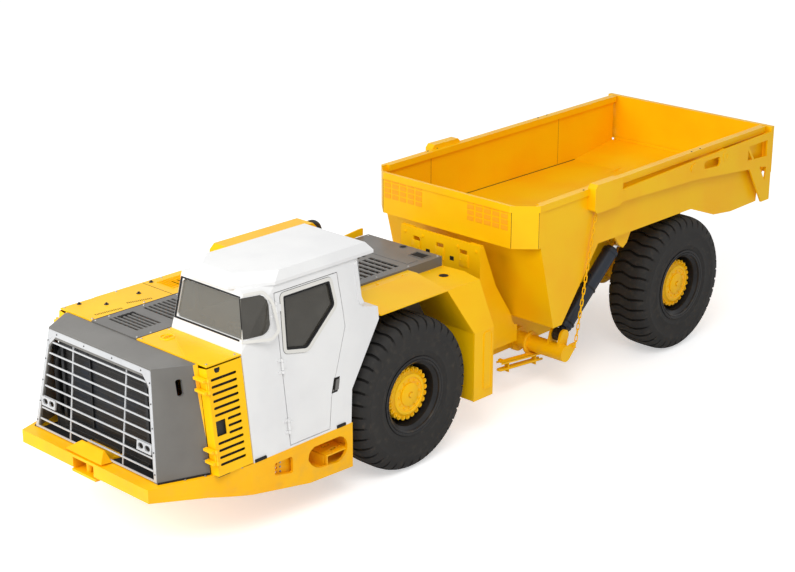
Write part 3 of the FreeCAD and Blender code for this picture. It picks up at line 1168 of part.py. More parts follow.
def cab_volume(inset):
    """Outer volume of the cab moved in by inset on every face."""
    body = prism_y(cab_outline(inset), CAB_RIGHT_Y + inset, SIDE_FOOT + 200)
    lean = prism_x([(side_y(0) - inset, 0), (side_y(FAR) - inset, FAR), (FAR, FAR), (FAR, 0)],
                   TAIL_X, NOSE_X)
    point, normal = corner_face()
    return cut_all(body, [lean, half_space(point - normal * inset, normal)])


def door_outline(gap):
    """Cab door outline in (x, z), moved in by a gap."""
    top = CAB_TOP - 75 - gap
    foot = DECK_HEIGHT + 20 + gap
    rear = DOOR_REAR_X + gap
    return [(PILLAR_X - gap, foot), (PILLAR_X - gap, top), (rear + 35, top), (rear + 5, HOOD_HEIGHT + 60),
            (rear, HOOD_HEIGHT - 90 + gap * 0.5), (rear + 255, DECK_HEIGHT + 310), (rear + 315, foot)]


def door_zone(gap, depth):
    """Part of the leaning side wall that the door takes, less a gap all round."""
    wall = leaning_slab(CAB_REAR_X, PILLAR_X + 50, DECK_HEIGHT, CAB_TOP, -60, depth)
    return wall.common(prism_y(door_outline(gap), 800, FAR))


def door_window():
    """Tool for the window of the cab door."""
    outline = [(PILLAR_X - 80, HOOD_HEIGHT - 100), (PILLAR_X - 105, CAB_TOP - 135),
               (DOOR_REAR_X + 150, CAB_TOP - 135), (DOOR_REAR_X + 115, HOOD_HEIGHT + 150),
               (DOOR_REAR_X + 495, HOOD_HEIGHT - 150)]
    return prism_y(chamfered(outline, 28), 800, FAR)


def window_tools(lap):
    """Prisms that pierce the fixed walls of the cab, by pane name, with a lap at the glass corner."""
    x = CAB_FRONT_X
    low = SILL_Z + 20
    screen = rect(CAB_RIGHT_Y + 32, SIDE_FOOT + 100, low, SCREEN_TOP)
    quarter = [(x + 100, low), (x + 100, SCREEN_TOP), (x - 330, SCREEN_TOP), (x - 380, CAB_TOP - 150),
               (x - 370, low + 30), (x - 300, low - 20), (x - 40, low)]
    right = rect(CAB_REAR_X + 400, CAB_REAR_X + 1200, low - 20, CAB_TOP - 80)
    rear = rect(CAB_RIGHT_Y + 120, SIDE_FOOT - 305, low - 10, CAB_TOP - 80)
    point, normal = glass_mitre()
    beyond = half_space(point + normal * lap, normal)
    ahead = half_space(point - normal * lap, normal * -1)
    return {"windshield": prism_x(chamfered(screen, 28), x - 240, x + 110).cut(beyond),
            "quarter_glass": prism_y(chamfered(quarter, 24), SIDE_FOOT - 315, FAR).cut(ahead),
            "right_glass": prism_y(chamfered(right, 28), CAB_RIGHT_Y - 50, CAB_RIGHT_Y + 100),
            "rear_glass": prism_x(chamfered(rear, 28), CAB_REAR_X - 50, CAB_REAR_X + 100)}


def cab_shell():
    """Hollow cab with window and door openings, a floor and a roof hatch."""
    hatch = block(CAB_REAR_X + 110, CAB_FRONT_X - 240, CAB_RIGHT_Y + 90, SIDE_FOOT - 285, CAB_TOP - 100,
                  CAB_TOP + 10)
    tools = [cab_volume(CAB_WALL), hatch, door_zone(0, CAB_WALL + RUN_GAP)] + list(window_tools(1).values())
    return joined([cut_all(cab_volume(0), tools)] + hinge_lugs(PILLAR_X, CAB_HINGE_Z, 1))


def pane(tool):
    """Pane in the middle of its wall."""
    outer = CAB_WALL * 0.3
    return cab_volume(outer).cut(cab_volume(outer + GLASS)).common(tool)


def cab_door():
    """Door as thick as the cab wall, with its window and a cup for the latch."""
    panel = cab_volume(0).common(door_zone(DOOR_GAP, CAB_WALL))
    x = DOOR_REAR_X
    z = DECK_HEIGHT + 340
    cup = prism_y([(x + 175, z), (x + 255, z), (x + 205, z + 140), (x + 125, z + 140)],
                  side_y(z + 70) - 22, FAR)
    door = joined([panel] + hinge_knuckles(PILLAR_X, CAB_HINGE_Z))
    return cut_all(door, [door_window(), cup])


def cab_roof():
    """Roof cap with chamfered plan and sloping edges."""
    x = CAB_FRONT_X
    low = [(x - 85, CAB_RIGHT_Y + 184), (x - 83, SIDE_FOOT - 375), (x - 450, SIDE_FOOT - 165),
           (CAB_TAIL_X + 10, SIDE_FOOT - 165), (CAB_TAIL_X + 10, CAB_RIGHT_Y - 20),
           (x - 290, CAB_RIGHT_Y - 20)]
    high = [(x - 184, CAB_RIGHT_Y + 239), (x - 189, SIDE_FOOT - 431), (x - 533, SIDE_FOOT - 205),
            (CAB_TAIL_X + 80, SIDE_FOOT - 205), (CAB_TAIL_X + 80, CAB_RIGHT_Y + 50),
            (x - 410, CAB_RIGHT_Y + 50)]
    rim = prism_z(low, CAB_TOP + SEAT_GAP, CAB_TOP + PLATE)
    crown = loft([V(px, py, CAB_TOP + PLATE) for px, py in low],
                 [V(px, py, CAB_ROOF_HEIGHT) for px, py in high])
    return joined([rim, crown])


# ---------------------------------------------------------------- inside the cab
SEAT_X = FRONT_AXLE_X + 1170.0
SEAT_SHIFT = 32.5           # seat inboard of the middle of the cab
SEAT_Y = (CAB_RIGHT_Y + SIDE_FOOT) / 2 - SEAT_SHIFT
SEAT_Z = CAB_FLOOR_Z + 345.0
PAN_T = 110.0


def driver_seat():
    """Seat pan and back."""
    pan = block(SEAT_X - 240, SEAT_X + 260, SEAT_Y - 240, SEAT_Y + 240, SEAT_Z, SEAT_Z + PAN_T)
    top = SEAT_Z + 710
    back = prism_y([(SEAT_X - 240, SEAT_Z + PAN_T), (SEAT_X - 120, SEAT_Z + PAN_T), (SEAT_X - 200, top),
                    (SEAT_X - 290, top)], SEAT_Y - 230, SEAT_Y + 230)
    return joined([pan, back])


def seat_pedestal():
    """Suspension box under the seat."""
    return block(SEAT_X - 190, SEAT_X + 190, SEAT_Y - 180, SEAT_Y + 180, CAB_FLOOR_Z + SEAT_GAP,
                 SEAT_Z - SEAT_GAP)


def control_console():
    """Dashboard behind the windshield with the steering column and its wheel."""
    x = CAB_FRONT_X - CAB_WALL - SEAT_GAP
    foot = CAB_FLOOR_Z + SEAT_GAP
    top = HOOD_HEIGHT - 10
    desk = prism_y([(x, foot), (x, top), (x - 180, top - 20), (x - 280, top - 220), (x - 160, top - 280),
                    (x - 120, foot)], CAB_RIGHT_Y + 70, SIDE_FOOT - 205)
    tip = V(x - 420, SEAT_Y, top - 60)
    base = V(x - 200, SEAT_Y, top - 180)
    axis = (tip - base).normalize()
    column = rod(base, tip + axis * 6, 26)
    rim = rod(tip - axis * 12, tip + axis * 12, 185).cut(rod(tip - axis * 13, tip + axis * 13, 157))
    spoke = rod(tip - axis * 10, tip + axis * 10, 170).common(
        block(tip.x - 200, tip.x + 200, SEAT_Y - 200, SEAT_Y + 200, tip.z - 20, tip.z + 20))
    return joined([desk, column, rim, spoke])


def main():
    """Write every node."""
    os.makedirs("parts", exist_ok=True)
    single = [front_frame, bumper_deck, tow_pin, hitch_carrier, hitch_pins, radiator_cowl, radiator_grille,
              radiator_core, engine_block, centre_hood, left_cover, right_hood, rear_hood,
              air_cleaner_box, exhaust_pipe, cab_shell, cab_roof, cab_door, driver_seat, seat_pedestal,
              control_console, rear_frame, dump_box, tailgate]
    for make in single:
        export(make.__name__, make())
    for name, tool in window_tools(-SEAT_GAP / 2).items():
        export(name, pane(tool))
    export("door_glass", pane(door_window()))
    export("front_axle", axle(FRONT_AXLE_X, AXLE_SEAT_Z, FRAME_Y))
    export("rear_axle", axle(REAR_AXLE_X, BEAM_SEAT_Z, BEAM_Y))
    for name, sign in SIDES:
        export(name + "_louvred_door", side_of(louvred_door(), sign))
        export(name + "_fender", side_of(fender(), sign))
        export("gate_chain_" + name, gate_chain(sign))
        for piece, solid in zip(("steer_barrel_", "steer_rod_"), steer_ram(sign)):
            export(piece + name, solid)
        for piece, solid in zip(("hoist_barrel_", "hoist_stage_", "hoist_rod_"), hoist_ram(sign)):
            export(piece + name, solid)
        for end, centre_x in (("front", FRONT_AXLE_X), ("rear", REAR_AXLE_X)):
            export("tyre_" + end + "_" + name, tyre(centre_x, sign))
            export("wheel_" + end + "_" + name, wheel_hub(centre_x, sign))


main()
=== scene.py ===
# %% [markdown]
# # Underground mining truck
# The steel, rubber and glass solids of the truck come in as a fixed frame. This notebook gives
# each of them a finish and adds what is too fine for solids: tread, bolts, slots, seams, rails
# and treads. Some places are read from the frame's solids, and the rest are given as numbers.

# %% Load the frame
import bmesh
import bpy
import json
import math
from mathutils import Matrix, Vector


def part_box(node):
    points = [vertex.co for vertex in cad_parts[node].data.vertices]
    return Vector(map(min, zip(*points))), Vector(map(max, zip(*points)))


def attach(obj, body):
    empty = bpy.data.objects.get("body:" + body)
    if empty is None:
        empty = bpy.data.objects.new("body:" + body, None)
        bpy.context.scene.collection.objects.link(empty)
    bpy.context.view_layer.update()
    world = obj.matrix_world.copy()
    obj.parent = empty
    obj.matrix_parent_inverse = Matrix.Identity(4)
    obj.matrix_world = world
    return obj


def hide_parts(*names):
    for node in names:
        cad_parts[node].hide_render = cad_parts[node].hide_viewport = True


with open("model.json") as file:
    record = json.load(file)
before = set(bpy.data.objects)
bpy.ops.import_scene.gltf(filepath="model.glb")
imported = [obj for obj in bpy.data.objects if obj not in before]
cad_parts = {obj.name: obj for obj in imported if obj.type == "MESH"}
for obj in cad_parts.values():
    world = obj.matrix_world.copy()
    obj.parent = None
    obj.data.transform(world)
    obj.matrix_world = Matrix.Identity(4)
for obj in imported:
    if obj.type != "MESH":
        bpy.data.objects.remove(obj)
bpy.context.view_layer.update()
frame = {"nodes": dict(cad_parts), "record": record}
NODES = frame["nodes"]

# %% [markdown]
# ## Camera
# The truck is seen from high on the driver's side with a long lens, so that its low, long body
# keeps its proportions. The camera stands still and a matrix turns it: the three columns are
# its right, its up and its back.

# %% Camera
CAMERA_PLACE = Vector((12.923, 11.827, 7.517))
CAMERA_TURN = math.radians(133.686)
CAMERA_DIP = math.radians(19.751)
LENS_MM = 80.04


def shown(name, data):
    """An object of the scene that holds a mesh, a lamp or a camera."""
    thing = bpy.data.objects.new(name, data)
    bpy.context.scene.collection.objects.link(thing)
    return thing


def make_camera():
    """A long-lens camera on the driver's side."""
    data = bpy.data.cameras.new("long_lens")
    data.lens = LENS_MM
    data.sensor_width = 36.0
    data.clip_end = 200.0
    camera = shown("long_lens", data)
    flat = Vector((math.sin(CAMERA_TURN), -math.cos(CAMERA_TURN), 0))
    back = flat * math.cos(CAMERA_DIP) + Vector((0, 0, math.sin(CAMERA_DIP)))
    right = Vector((0, 0, 1)).cross(back).normalized()
    up = back.cross(right)
    turn = Matrix((right, up, back)).transposed().to_4x4()
    camera.matrix_world = Matrix.Translation(CAMERA_PLACE) @ turn
    bpy.context.scene.camera = camera
    return camera


print("camera looks along", make_camera().matrix_world.to_3x3() @ Vector((0, 0, -1)))

# %% [markdown]
# ## Shader helpers
# A finish is worked out as ordinary arithmetic. `Wire` wraps the output of a node, and its
# operators add Math nodes, so `1 - dust * 0.5` is a real expression. `Finish.node` makes any
# other node: its settings come first, then its sockets are filled with numbers or wires.

# %% Shader helpers
def maths(operation, swapped=False):
    """An operator of a wire that adds one Math node; swapped is its reflected form."""
    def join(self, other):
        first, second = (other, self) if swapped else (self, other)
        return self.finish.node("ShaderNodeMath", {"operation": operation}, {0: first, 1: second})
    return join


class Wire:
    """The output of a node, which can be added, multiplied and so on."""

    def __init__(self, finish, socket):
        self.finish = finish
        self.socket = socket

    __add__, __radd__ = maths("ADD"), maths("ADD", True)
    __sub__, __rsub__ = maths("SUBTRACT"), maths("SUBTRACT", True)
    __mul__, __rmul__ = maths("MULTIPLY"), maths("MULTIPLY", True)
    __gt__, __lt__ = maths("GREATER_THAN"), maths("LESS_THAN")

    def above(self, low, high):
        """0 below low, 1 above high, and a smooth step between them."""
        settings = {"interpolation_type": "SMOOTHSTEP"}
        return self.finish.node("ShaderNodeMapRange", settings, {0: self, 1: low, 2: high, 3: 0.0, 4: 1.0})

    def clamped(self):
        """The value kept between 0 and 1."""
        return self.finish.node("ShaderNodeClamp", {}, {0: self})


class Finish:
    """A material under construction, with one Principled shader."""

    def __init__(self, name):
        self.material = bpy.data.materials.new(name)
        self.material.use_nodes = True
        self.tree = self.material.node_tree
        self.tree.nodes.clear()
        self.shader = self.tree.nodes.new("ShaderNodeBsdfPrincipled")
        output = self.tree.nodes.new("ShaderNodeOutputMaterial")
        self.tree.links.new(self.shader.outputs[0], output.inputs[0])
        self.place = self.node("ShaderNodeTexCoord", {}, {}, "Object")

    def node(self, kind, settings, inputs, output=0):
        """Adds a node: settings first, then numbers or wires for its sockets."""
        node = self.tree.nodes.new(kind)
        for key, value in settings.items():
            setattr(node, key, value)
        for key, value in inputs.items():
            self._fill(node.inputs[key], value)
        return Wire(self, node.outputs[output])

    def _fill(self, socket, value):
        if isinstance(value, Wire):
            self.tree.links.new(value.socket, socket)
        elif isinstance(value, tuple) and len(value) == 3 and socket.type == "RGBA":
            socket.default_value = value + (1.0,)
        else:
            socket.default_value = value

    def axis(self, name):
        """One coordinate of the surface, in metres."""
        return self.node("ShaderNodeSeparateXYZ", {}, {0: self.place}, name)

    def noise(self, scale, detail=4.0, stretch=(1, 1, 1)):
        """Cloudy values about 0.5, with a number of lumps per metre."""
        place = self.place
        if stretch != (1, 1, 1):
            place = self.node("ShaderNodeMapping", {}, {"Vector": self.place, "Scale": stretch})
        return self.node("ShaderNodeTexNoise", {}, {"Vector": place, "Scale": scale, "Detail": detail})

    def mix(self, share, first, second):
        """Colour that goes from the first to the second with the share."""
        return self.node("ShaderNodeMix", {"data_type": "RGBA"}, {0: share, 6: first, 7: second}, 2)

    def bump(self, height, depth, strength=1.0):
        """A normal bent by a height that stands for a depth in metres."""
        return self.node("ShaderNodeBump", {}, {"Height": height, "Distance": depth, "Strength": strength})

    def done(self, **sockets):
        """Fills the shader's sockets and returns the material."""
        for name, value in sockets.items():
            self._fill(self.shader.inputs[name.replace("_", " ")], value)
        return self.material


def srgb(red, green, blue):
    """Linear colour from the 0 to 255 values of a colour chart."""
    values = []
    for level in (red, green, blue):
        share = level / 255
        values.append(share / 12.92 if share <= 0.04045 else ((share + 0.055) / 1.055) ** 2.4)
    return tuple(values)


print("a mid grey is", [round(value, 3) for value in srgb(128, 128, 128)])

# %% [markdown]
# ## Machine paint
# Thick two-pack paint on steel plate is never one colour. It has a faint cloudiness from the
# spray gun, a fine orange-peel skin that breaks up reflections, and a film of rock dust that
# thickens towards the ground. One function makes all the painted finishes with these layers.

# %% Machine paint
DUST = srgb(150, 132, 104)


def machine_paint(name, colour, shade, roughness, dust=0.25, peel=0.00025, coat=0.1, gloss=0.3):
    """Sprayed paint with cloudy colour, orange peel and dust near the ground. Colours are 0 to 255."""
    f = Finish(name)
    cloud = f.noise(1.7).above(0.35, 0.7)
    base = f.mix(cloud, srgb(*colour), srgb(*shade))
    low = 1 - f.axis("Z").above(0.15, 1.1)
    grime = (low * f.noise(9.0, 8.0).above(0.42, 0.75) * dust).clamped()
    rough = roughness + grime * 0.4 + f.noise(40.0) * 0.06
    skin = f.bump(f.noise(260.0, 2.0), peel, 0.35)
    return f.done(Base_Color=f.mix(grime, base, DUST), Roughness=rough, Normal=skin,
                  Coat_Weight=coat, Coat_Roughness=0.12, Specular_IOR_Level=gloss)


PAINTS = {
    "yellow": ("yellow_paint", (255, 200, 2), (255, 190, 0), 0.36, 0.1, 0.00025, 0.06, 0.2),
    "orange": ("bumper_paint", (255, 190, 2), (252, 180, 0), 0.38, 0.2, 0.00025, 0.06, 0.2),
    "white": ("cab_paint", (233, 233, 232), (226, 226, 226), 0.34, 0.05),
    "grey": ("cowl_paint", (110, 108, 105), (100, 98, 95), 0.40, 0.08),
    "frame": ("frame_paint", (222, 220, 214), (214, 212, 206), 0.36, 0.05),
    "pad": ("pad_paint", (255, 176, 30), (250, 168, 24), 0.5, 0.1, 0.00025, 0.03, 0.2),
    "pin_yellow": ("pin_paint", (255, 184, 2), (250, 172, 0), 0.4, 0.1, 0.00025, 0.05, 0.2),
    "ram_paint": ("ram_paint", (30, 38, 50), (22, 28, 38), 0.36, 0.1),
    "silver": ("grille_paint", (188, 189, 190), (172, 174, 177), 0.32, 0.1),
    "black": ("black_paint", (30, 31, 33), (24, 25, 27), 0.45, 0.2),
    "wheel_black": ("rim_paint", (34, 34, 35), (26, 26, 28), 0.34, 0.2),
    # The rubber finish is also painted shade on the dark sheet behind the radiator guard.
    "rubber": ("seal_rubber_and_shade_sheet", (26, 26, 27), (20, 20, 21), 0.7, 0.15, 0.0004, 0.0),
    # The gap finish is painted shade where it fills tyre grooves, holes and slots; on seams and the cab
    # door's latch plate it is their own dark colour.
    "gap": ("dark_seams_plates_and_painted_shade", (22, 19, 15), (14, 13, 12), 0.8, 0.0, 0.0002, 0.0),
    "iron": ("cast_iron", (92, 90, 86), (70, 68, 66), 0.7, 0.3, 0.0012, 0.0),
    "rust": ("rusty_iron", (128, 84, 52), (86, 56, 38), 0.85, 0.0, 0.0016, 0.0),
    # The hose colour is partly the hoses' own and partly a painted highlight.
    "hose": ("pale_hose_painted_highlight", (196, 186, 168), (160, 148, 130), 0.6, 0.0, 0.0006, 0.0),
    "black_plastic": ("dash_plastic", (38, 38, 40), (32, 32, 34), 0.6, 0.05, 0.0006, 0.0),
    "seat": ("seat_cloth", (44, 44, 48), (36, 36, 40), 0.85, 0.0, 0.0012, 0.0),
}
FINISHES = {key: machine_paint(*row) for key, row in PAINTS.items()}
print("painted finishes:", ", ".join(FINISHES))

# %% [markdown]
# ## Bare metal, rubber and glass
# Pins are turned steel with a drawn grain, and rods are hard chrome. Tyre rubber is a dull
# warm black, greyer where dust stays. Cab glass is lightly tinted and shows the dark cab.

# %% Bare metal, rubber and glass
def turned_steel(name, colour, roughness):
    """Machined steel with a fine grain along its length."""
    f = Finish(name)
    grain = f.noise(30.0, 6.0, (1, 40, 40))
    return f.done(Base_Color=f.mix(grain, colour, tuple(level * 0.8 for level in colour)), Metallic=1.0,
                  Roughness=roughness + grain * 0.12, Normal=f.bump(grain, 0.0002, 0.2))


def tyre_rubber():
    """Warm black rubber with patches of dust."""
    f = Finish("tyre_rubber")
    dust = (f.noise(14.0, 8.0).above(0.5, 0.8) * 0.22).clamped()
    colour = f.mix(f.noise(3.0).above(0.3, 0.7), srgb(31, 29, 27), srgb(25, 24, 23))
    return f.done(Base_Color=f.mix(dust, colour, srgb(96, 88, 76)), Roughness=0.78 + dust * 0.2,
                  Normal=f.bump(f.noise(180.0, 3.0), 0.0008, 0.4))


def tinted_glass(name, tint, cover):
    """Tinted glass with a faint film of dust."""
    f = Finish(name)
    film = f.noise(6.0, 6.0).above(0.4, 0.8) * 0.12
    return f.done(Base_Color=f.mix(film, tint, srgb(128, 126, 118)), Roughness=0.06 + film,
                  Alpha=cover, Metallic=0.0, IOR=1.5, Coat_Weight=0.4, Coat_Roughness=0.03)


def pierced_sheet():
    """Dark sheet with rows of small round holes painted near-black as shade."""
    f = Finish("pierced_sheet")
    across = f.node("ShaderNodeMath", {"operation": "SINE"}, {0: f.axis("X") * 420.0})
    along = f.node("ShaderNodeMath", {"operation": "SINE"}, {0: f.axis("Z") * 420.0})
    # Painted shade: the holes are near-black for the shadow behind the sheet.
    hole = (across * along).above(0.1, 0.5)
    return f.done(Base_Color=f.mix(hole, srgb(40, 38, 36), srgb(6, 6, 6)), Roughness=0.6,
                  Normal=f.bump(1 - hole, 0.002, 0.5))


def radiator_fins():
    """Dark core with upright fins; near-black gaps between the fins are painted shade, and bluish patches are
    painted reflections.
    """
    f = Finish("radiator_fins")
    # Painted shade: near-black between the fins.
    fin = f.node("ShaderNodeMath", {"operation": "SINE"}, {0: f.axis("Y") * 700.0}).above(-0.4, 0.6)
    row = f.node("ShaderNodeMath", {"operation": "SINE"}, {0: f.axis("Z") * 130.0}).above(0.82, 0.98)
    # Painted reflection: bluish patches on the fins.
    film = f.noise(2.2, 3.0).above(0.45, 0.7)
    core = f.mix(fin, srgb(8, 8, 9), f.mix(film, srgb(30, 28, 26), srgb(24, 40, 58)))
    return f.done(Base_Color=f.mix(row, core, srgb(46, 44, 42)), Roughness=0.5, Metallic=0.3,
                  Normal=f.bump(fin + row, 0.003, 0.6))


HUB_EDGE = 0.272


def middle(node):
    """Centre of a solid of the frame."""
    low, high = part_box(node)
    return (Vector(low) + Vector(high)) / 2


def wheel_paint():
    """Yellow paint on the hub and black on the rim outside it."""
    f = Finish("hub_and_rim")
    front, rear = middle("wheel_front_left"), middle("wheel_rear_left")
    forward = f.axis("X") > (front.x + rear.x) / 2
    along = f.axis("X") - (rear.x + forward * (front.x - rear.x))
    up = f.axis("Z") - front.z
    square = along * along + up * up
    outside = square.above(HUB_EDGE ** 2, (HUB_EDGE + 0.002) ** 2)
    cloud = f.noise(6.0).above(0.35, 0.7)
    grime = (f.noise(22.0, 8.0).above(0.5, 0.8) * 0.25).clamped()
    yellow = f.mix(cloud, srgb(255, 200, 2), srgb(255, 188, 0))
    black = f.mix(cloud, srgb(32, 32, 33), srgb(24, 24, 26))
    paint = f.mix(outside, yellow, black)
    return f.done(Base_Color=f.mix(grime, paint, f.mix(outside, srgb(226, 150, 4), srgb(60, 56, 50))),
                  Roughness=0.36 + grime * 0.4, Coat_Weight=0.08, Coat_Roughness=0.15,
                  Specular_IOR_Level=0.25, Normal=f.bump(f.noise(200.0, 2.0), 0.0003, 0.35))


def cowl_paint():
    """Grey paint on the cowl, and yellow on the hinge lugs that reach out to the side doors."""
    f = Finish("cowl_and_lugs")
    side = f.node("ShaderNodeMath", {"operation": "ABSOLUTE"}, {0: f.axis("Y")})
    lug = (side + f.axis("Z") * 0.157 > 1.19) * (f.axis("X") < 4.06)
    cloud = f.noise(1.7).above(0.35, 0.7)
    grey = f.mix(cloud, srgb(112, 110, 106), srgb(102, 100, 96))
    skin = f.bump(f.noise(260.0, 2.0), 0.00025, 0.35)
    return f.done(Base_Color=f.mix(lug, grey, srgb(255, 194, 2)), Roughness=0.40 + f.noise(40.0) * 0.06,
                  Normal=skin, Coat_Weight=0.15, Coat_Roughness=0.12, Specular_IOR_Level=0.35)


FINISHES["mesh"] = pierced_sheet()
FINISHES["fins"] = radiator_fins()
FINISHES["hub"] = wheel_paint()
FINISHES["steel"] = turned_steel("pin_steel", srgb(176, 174, 170), 0.34)
FINISHES["chrome"] = turned_steel("rod_chrome", srgb(226, 228, 230), 0.08)
FINISHES["tyre"] = tyre_rubber()
FINISHES["glass"] = tinted_glass("cab_glass", srgb(68, 65, 58), 0.84)
# The windshield's paler tint is a painted reflection of the bright studio around the cab.
FINISHES["screen_glass_painted_reflection"] = tinted_glass("screen_glass_painted_reflection", srgb(122, 120, 112), 0.62)
FINISHES["cowl"] = cowl_paint()


SPECIAL = {"radiator_core": "fins", "windshield": "screen_glass_painted_reflection", "radiator_cowl": "cowl",
           "tow_pin": "pin_yellow", "hoist_barrel_left": "ram_paint", "hoist_barrel_right": "ram_paint"}


def dress_nodes():
    """Gives every solid of the frame the finish of its slot."""
    for part in frame["record"]["subparts"]:
        finish = SPECIAL.get(part["node"], part["material_slot"])
        for slot in NODES[part["node"]].material_slots:
            slot.material = FINISHES[finish]
    return len(frame["record"]["subparts"])


print("solids dressed:", dress_nodes())

# %% [markdown]
# ## Bars, blocks and bolts
# Nearly everything on a truck is plate, bar, bolt or turned part. Each helper adds one such
# shape to a bmesh with an operator, at its final place. A slab is a scaled cube with bevelled
# edges, and a rod is a cone with equal ends laid along a line. Typing out corner lists would
# give the same boxes, but no bevels.

# %% Bars, blocks and bolts
TURN = 2 * math.pi
SIDES = (1, -1)
HANDS = ((1, "left"), (-1, "right"))


def at(*place):
    """A point in metres."""
    return Vector(place)


def rounded(mesh, geom, offset, affect="EDGES", segments=2):
    """Bevels edges or corners by an offset."""
    bmesh.ops.bevel(mesh, geom=geom, offset=offset, affect=affect, segments=segments, profile=0.5,
                    material=-1)


def slab(mesh, start, end, bevel=0.0, turn=Matrix()):
    """A box between two opposite corners, with rounded edges if a bevel is given."""
    low = Vector([min(pair) for pair in zip(start, end)])
    high = Vector([max(pair) for pair in zip(start, end)])
    place = turn @ Matrix.Translation((low + high) / 2) @ Matrix.Diagonal((high - low).to_4d())
    made = bmesh.ops.create_cube(mesh, size=1.0, matrix=place)["verts"]
    if bevel:
        rounded(mesh, list(dict.fromkeys(edge for vert in made for edge in vert.link_edges)), bevel)


def rod(mesh, start, end, radius, tip=None, sides=20):
    """A round bar between two points, tapered if its tip has its own radius."""
    axis = Vector(end) - Vector(start)
    turn = axis.to_track_quat("Z", "Y").to_matrix().to_4x4()
    place = Matrix.Translation((Vector(start) + Vector(end)) / 2) @ turn
    bmesh.ops.create_cone(mesh, cap_ends=True, segments=sides, radius1=radius,
                          radius2=radius if tip is None else tip, depth=axis.length, matrix=place)


def bolt(mesh, place, out, radius, height):
    """A hexagon head on a round washer."""
    place, out = Vector(place), Vector(out).normalized()
    rod(mesh, place, place + out * height * 0.25, radius * 1.35, sides=14)
    rod(mesh, place + out * height * 0.2, place + out * height, radius, sides=6)


print("bars and blocks: slab, rod, bolt")

# %% [markdown]
# ## Cut plates
# A plate is one flat face, extruded to its thickness. Rounded corners are a vertex bevel, a
# frame is the same face inset to a ring, and a plate with holes is made by filling all its
# edge loops at once. Boolean cuts would do too, but they leave slivers.

# %% Cut plates
def merge(mesh, part):
    """Moves a finished shape into a larger mesh."""
    data = bpy.data.meshes.new("part")
    part.to_mesh(data)
    part.free()
    mesh.from_mesh(data)
    bpy.data.meshes.remove(data)


def raise_plate(mesh, plate, place, depth):
    """Extrudes flat faces to a depth, lays them on a wall and adds them to the mesh."""
    raised = bmesh.ops.extrude_face_region(plate, geom=list(plate.faces), use_keep_orig=True)["geom"]
    raised = [part for part in raised if isinstance(part, bmesh.types.BMVert)]
    bmesh.ops.translate(plate, vec=(0, 0, depth), verts=raised)
    bmesh.ops.transform(plate, matrix=place, verts=plate.verts)
    merge(mesh, plate)


def cut_plate(mesh, outline, place, depth, corner=0.0, rim=0.0):
    """A flat plate from an outline; a rim leaves only a frame of that width."""
    plate = bmesh.new()
    verts = [plate.verts.new((u, v, 0)) for u, v in outline]
    plate.faces.new(verts)
    if corner:
        rounded(plate, verts, corner, "VERTICES", 4)
    if rim:
        whole = list(plate.faces)
        bmesh.ops.inset_region(plate, faces=whole, thickness=rim, use_boundary=True, use_even_offset=True)
        bmesh.ops.delete(plate, geom=whole, context="FACES_ONLY")
    raise_plate(mesh, plate, place, depth)


def pierced_plate(mesh, outline, holes, place, depth):
    """A flat plate with openings: all its edge loops are filled at once and then extruded."""
    plate = bmesh.new()
    for loop in [outline] + holes:
        verts = [plate.verts.new((u, v, 0)) for u, v in loop]
        for pair in zip(verts, verts[1:] + verts[:1]):
            plate.edges.new(pair)
    bmesh.ops.triangle_fill(plate, use_beauty=True, edges=list(plate.edges), normal=(0, 0, 1))
    raise_plate(mesh, plate, place, depth)


def oblong(x0, x1, z0, z1):
    """Outline of a rectangle."""
    return [(x0, z0), (x1, z0), (x1, z1), (x0, z1)]


def slot_line(x0, x1, z0, z1):
    """Outline of a slot with cut corners."""
    cut = min(x1 - x0, z1 - z0) * 0.3
    return [(x0 + cut, z0), (x1 - cut, z0), (x1, z0 + cut), (x1, z1 - cut), (x1 - cut, z1), (x0 + cut, z1),
            (x0, z1 - cut), (x0, z0 + cut)]


def oval(centre, long, wide, sides=28):
    """Outline of an oval."""
    return [(centre[0] + long * math.cos(TURN * k / sides), centre[1] + wide * math.sin(TURN * k / sides))
            for k in range(sides)]


def grown(outline, reach):
    """The outline moved outwards by a reach, with its corners kept sharp."""
    turn = sum(a[0] * b[1] - b[0] * a[1] for a, b in zip(outline, outline[1:] + outline[:1]))
    side = reach if turn > 0 else -reach
    moved = []
    for index, corner in enumerate(outline):
        before = Vector(corner) - Vector(outline[index - 1])
        after = Vector(outline[(index + 1) % len(outline)]) - Vector(corner)
        first = Vector((before.y, -before.x)).normalized()
        second = Vector((after.y, -after.x)).normalized()
        halfway = (first + second).normalized()
        moved.append(tuple(Vector(corner) + halfway * (side / halfway.dot(first))))
    return moved


print("a slot has", len(slot_line(0, 1, 0, 1)), "corners")

# %% [markdown]
# ## Walls to build on
# The cab's side leans in and the cowl's front is raked. A matrix for each wall turns flat
# drawing coordinates and a height above the wall into a place on the truck, so a plate is
# drawn flat and lands on the slope. Turning each plate by hand would let them drift apart.

# %% Walls to build on
def side_place(point, normal):
    """Matrix from (x, z, outward) to a wall that faces sideways and may lean."""
    n = Vector(normal).normalized()
    start = point[1] + (n.x * point[0] + n.z * point[2]) / n.y
    return Matrix(((1, 0, n.x, 0), (-n.x / n.y, -n.z / n.y, n.y, start), (0, 1, n.z, 0), (0, 0, 0, 1)))


def front_place(point, normal):
    """Matrix from (y, z, outward) to a wall that faces forwards and may rake."""
    n = Vector(normal).normalized()
    start = point[0] + (n.y * point[1] + n.z * point[2]) / n.x
    return Matrix(((-n.y / n.x, -n.z / n.x, n.x, start), (1, 0, n.y, 0), (0, 1, n.z, 0), (0, 0, 0, 1)))


def lifted(place, height):
    """The same wall, raised by a height."""
    return place @ flat_place(height)


def flat_place(height):
    """Matrix from (x, y, up) to a level surface."""
    return Matrix.Translation((0, 0, height))


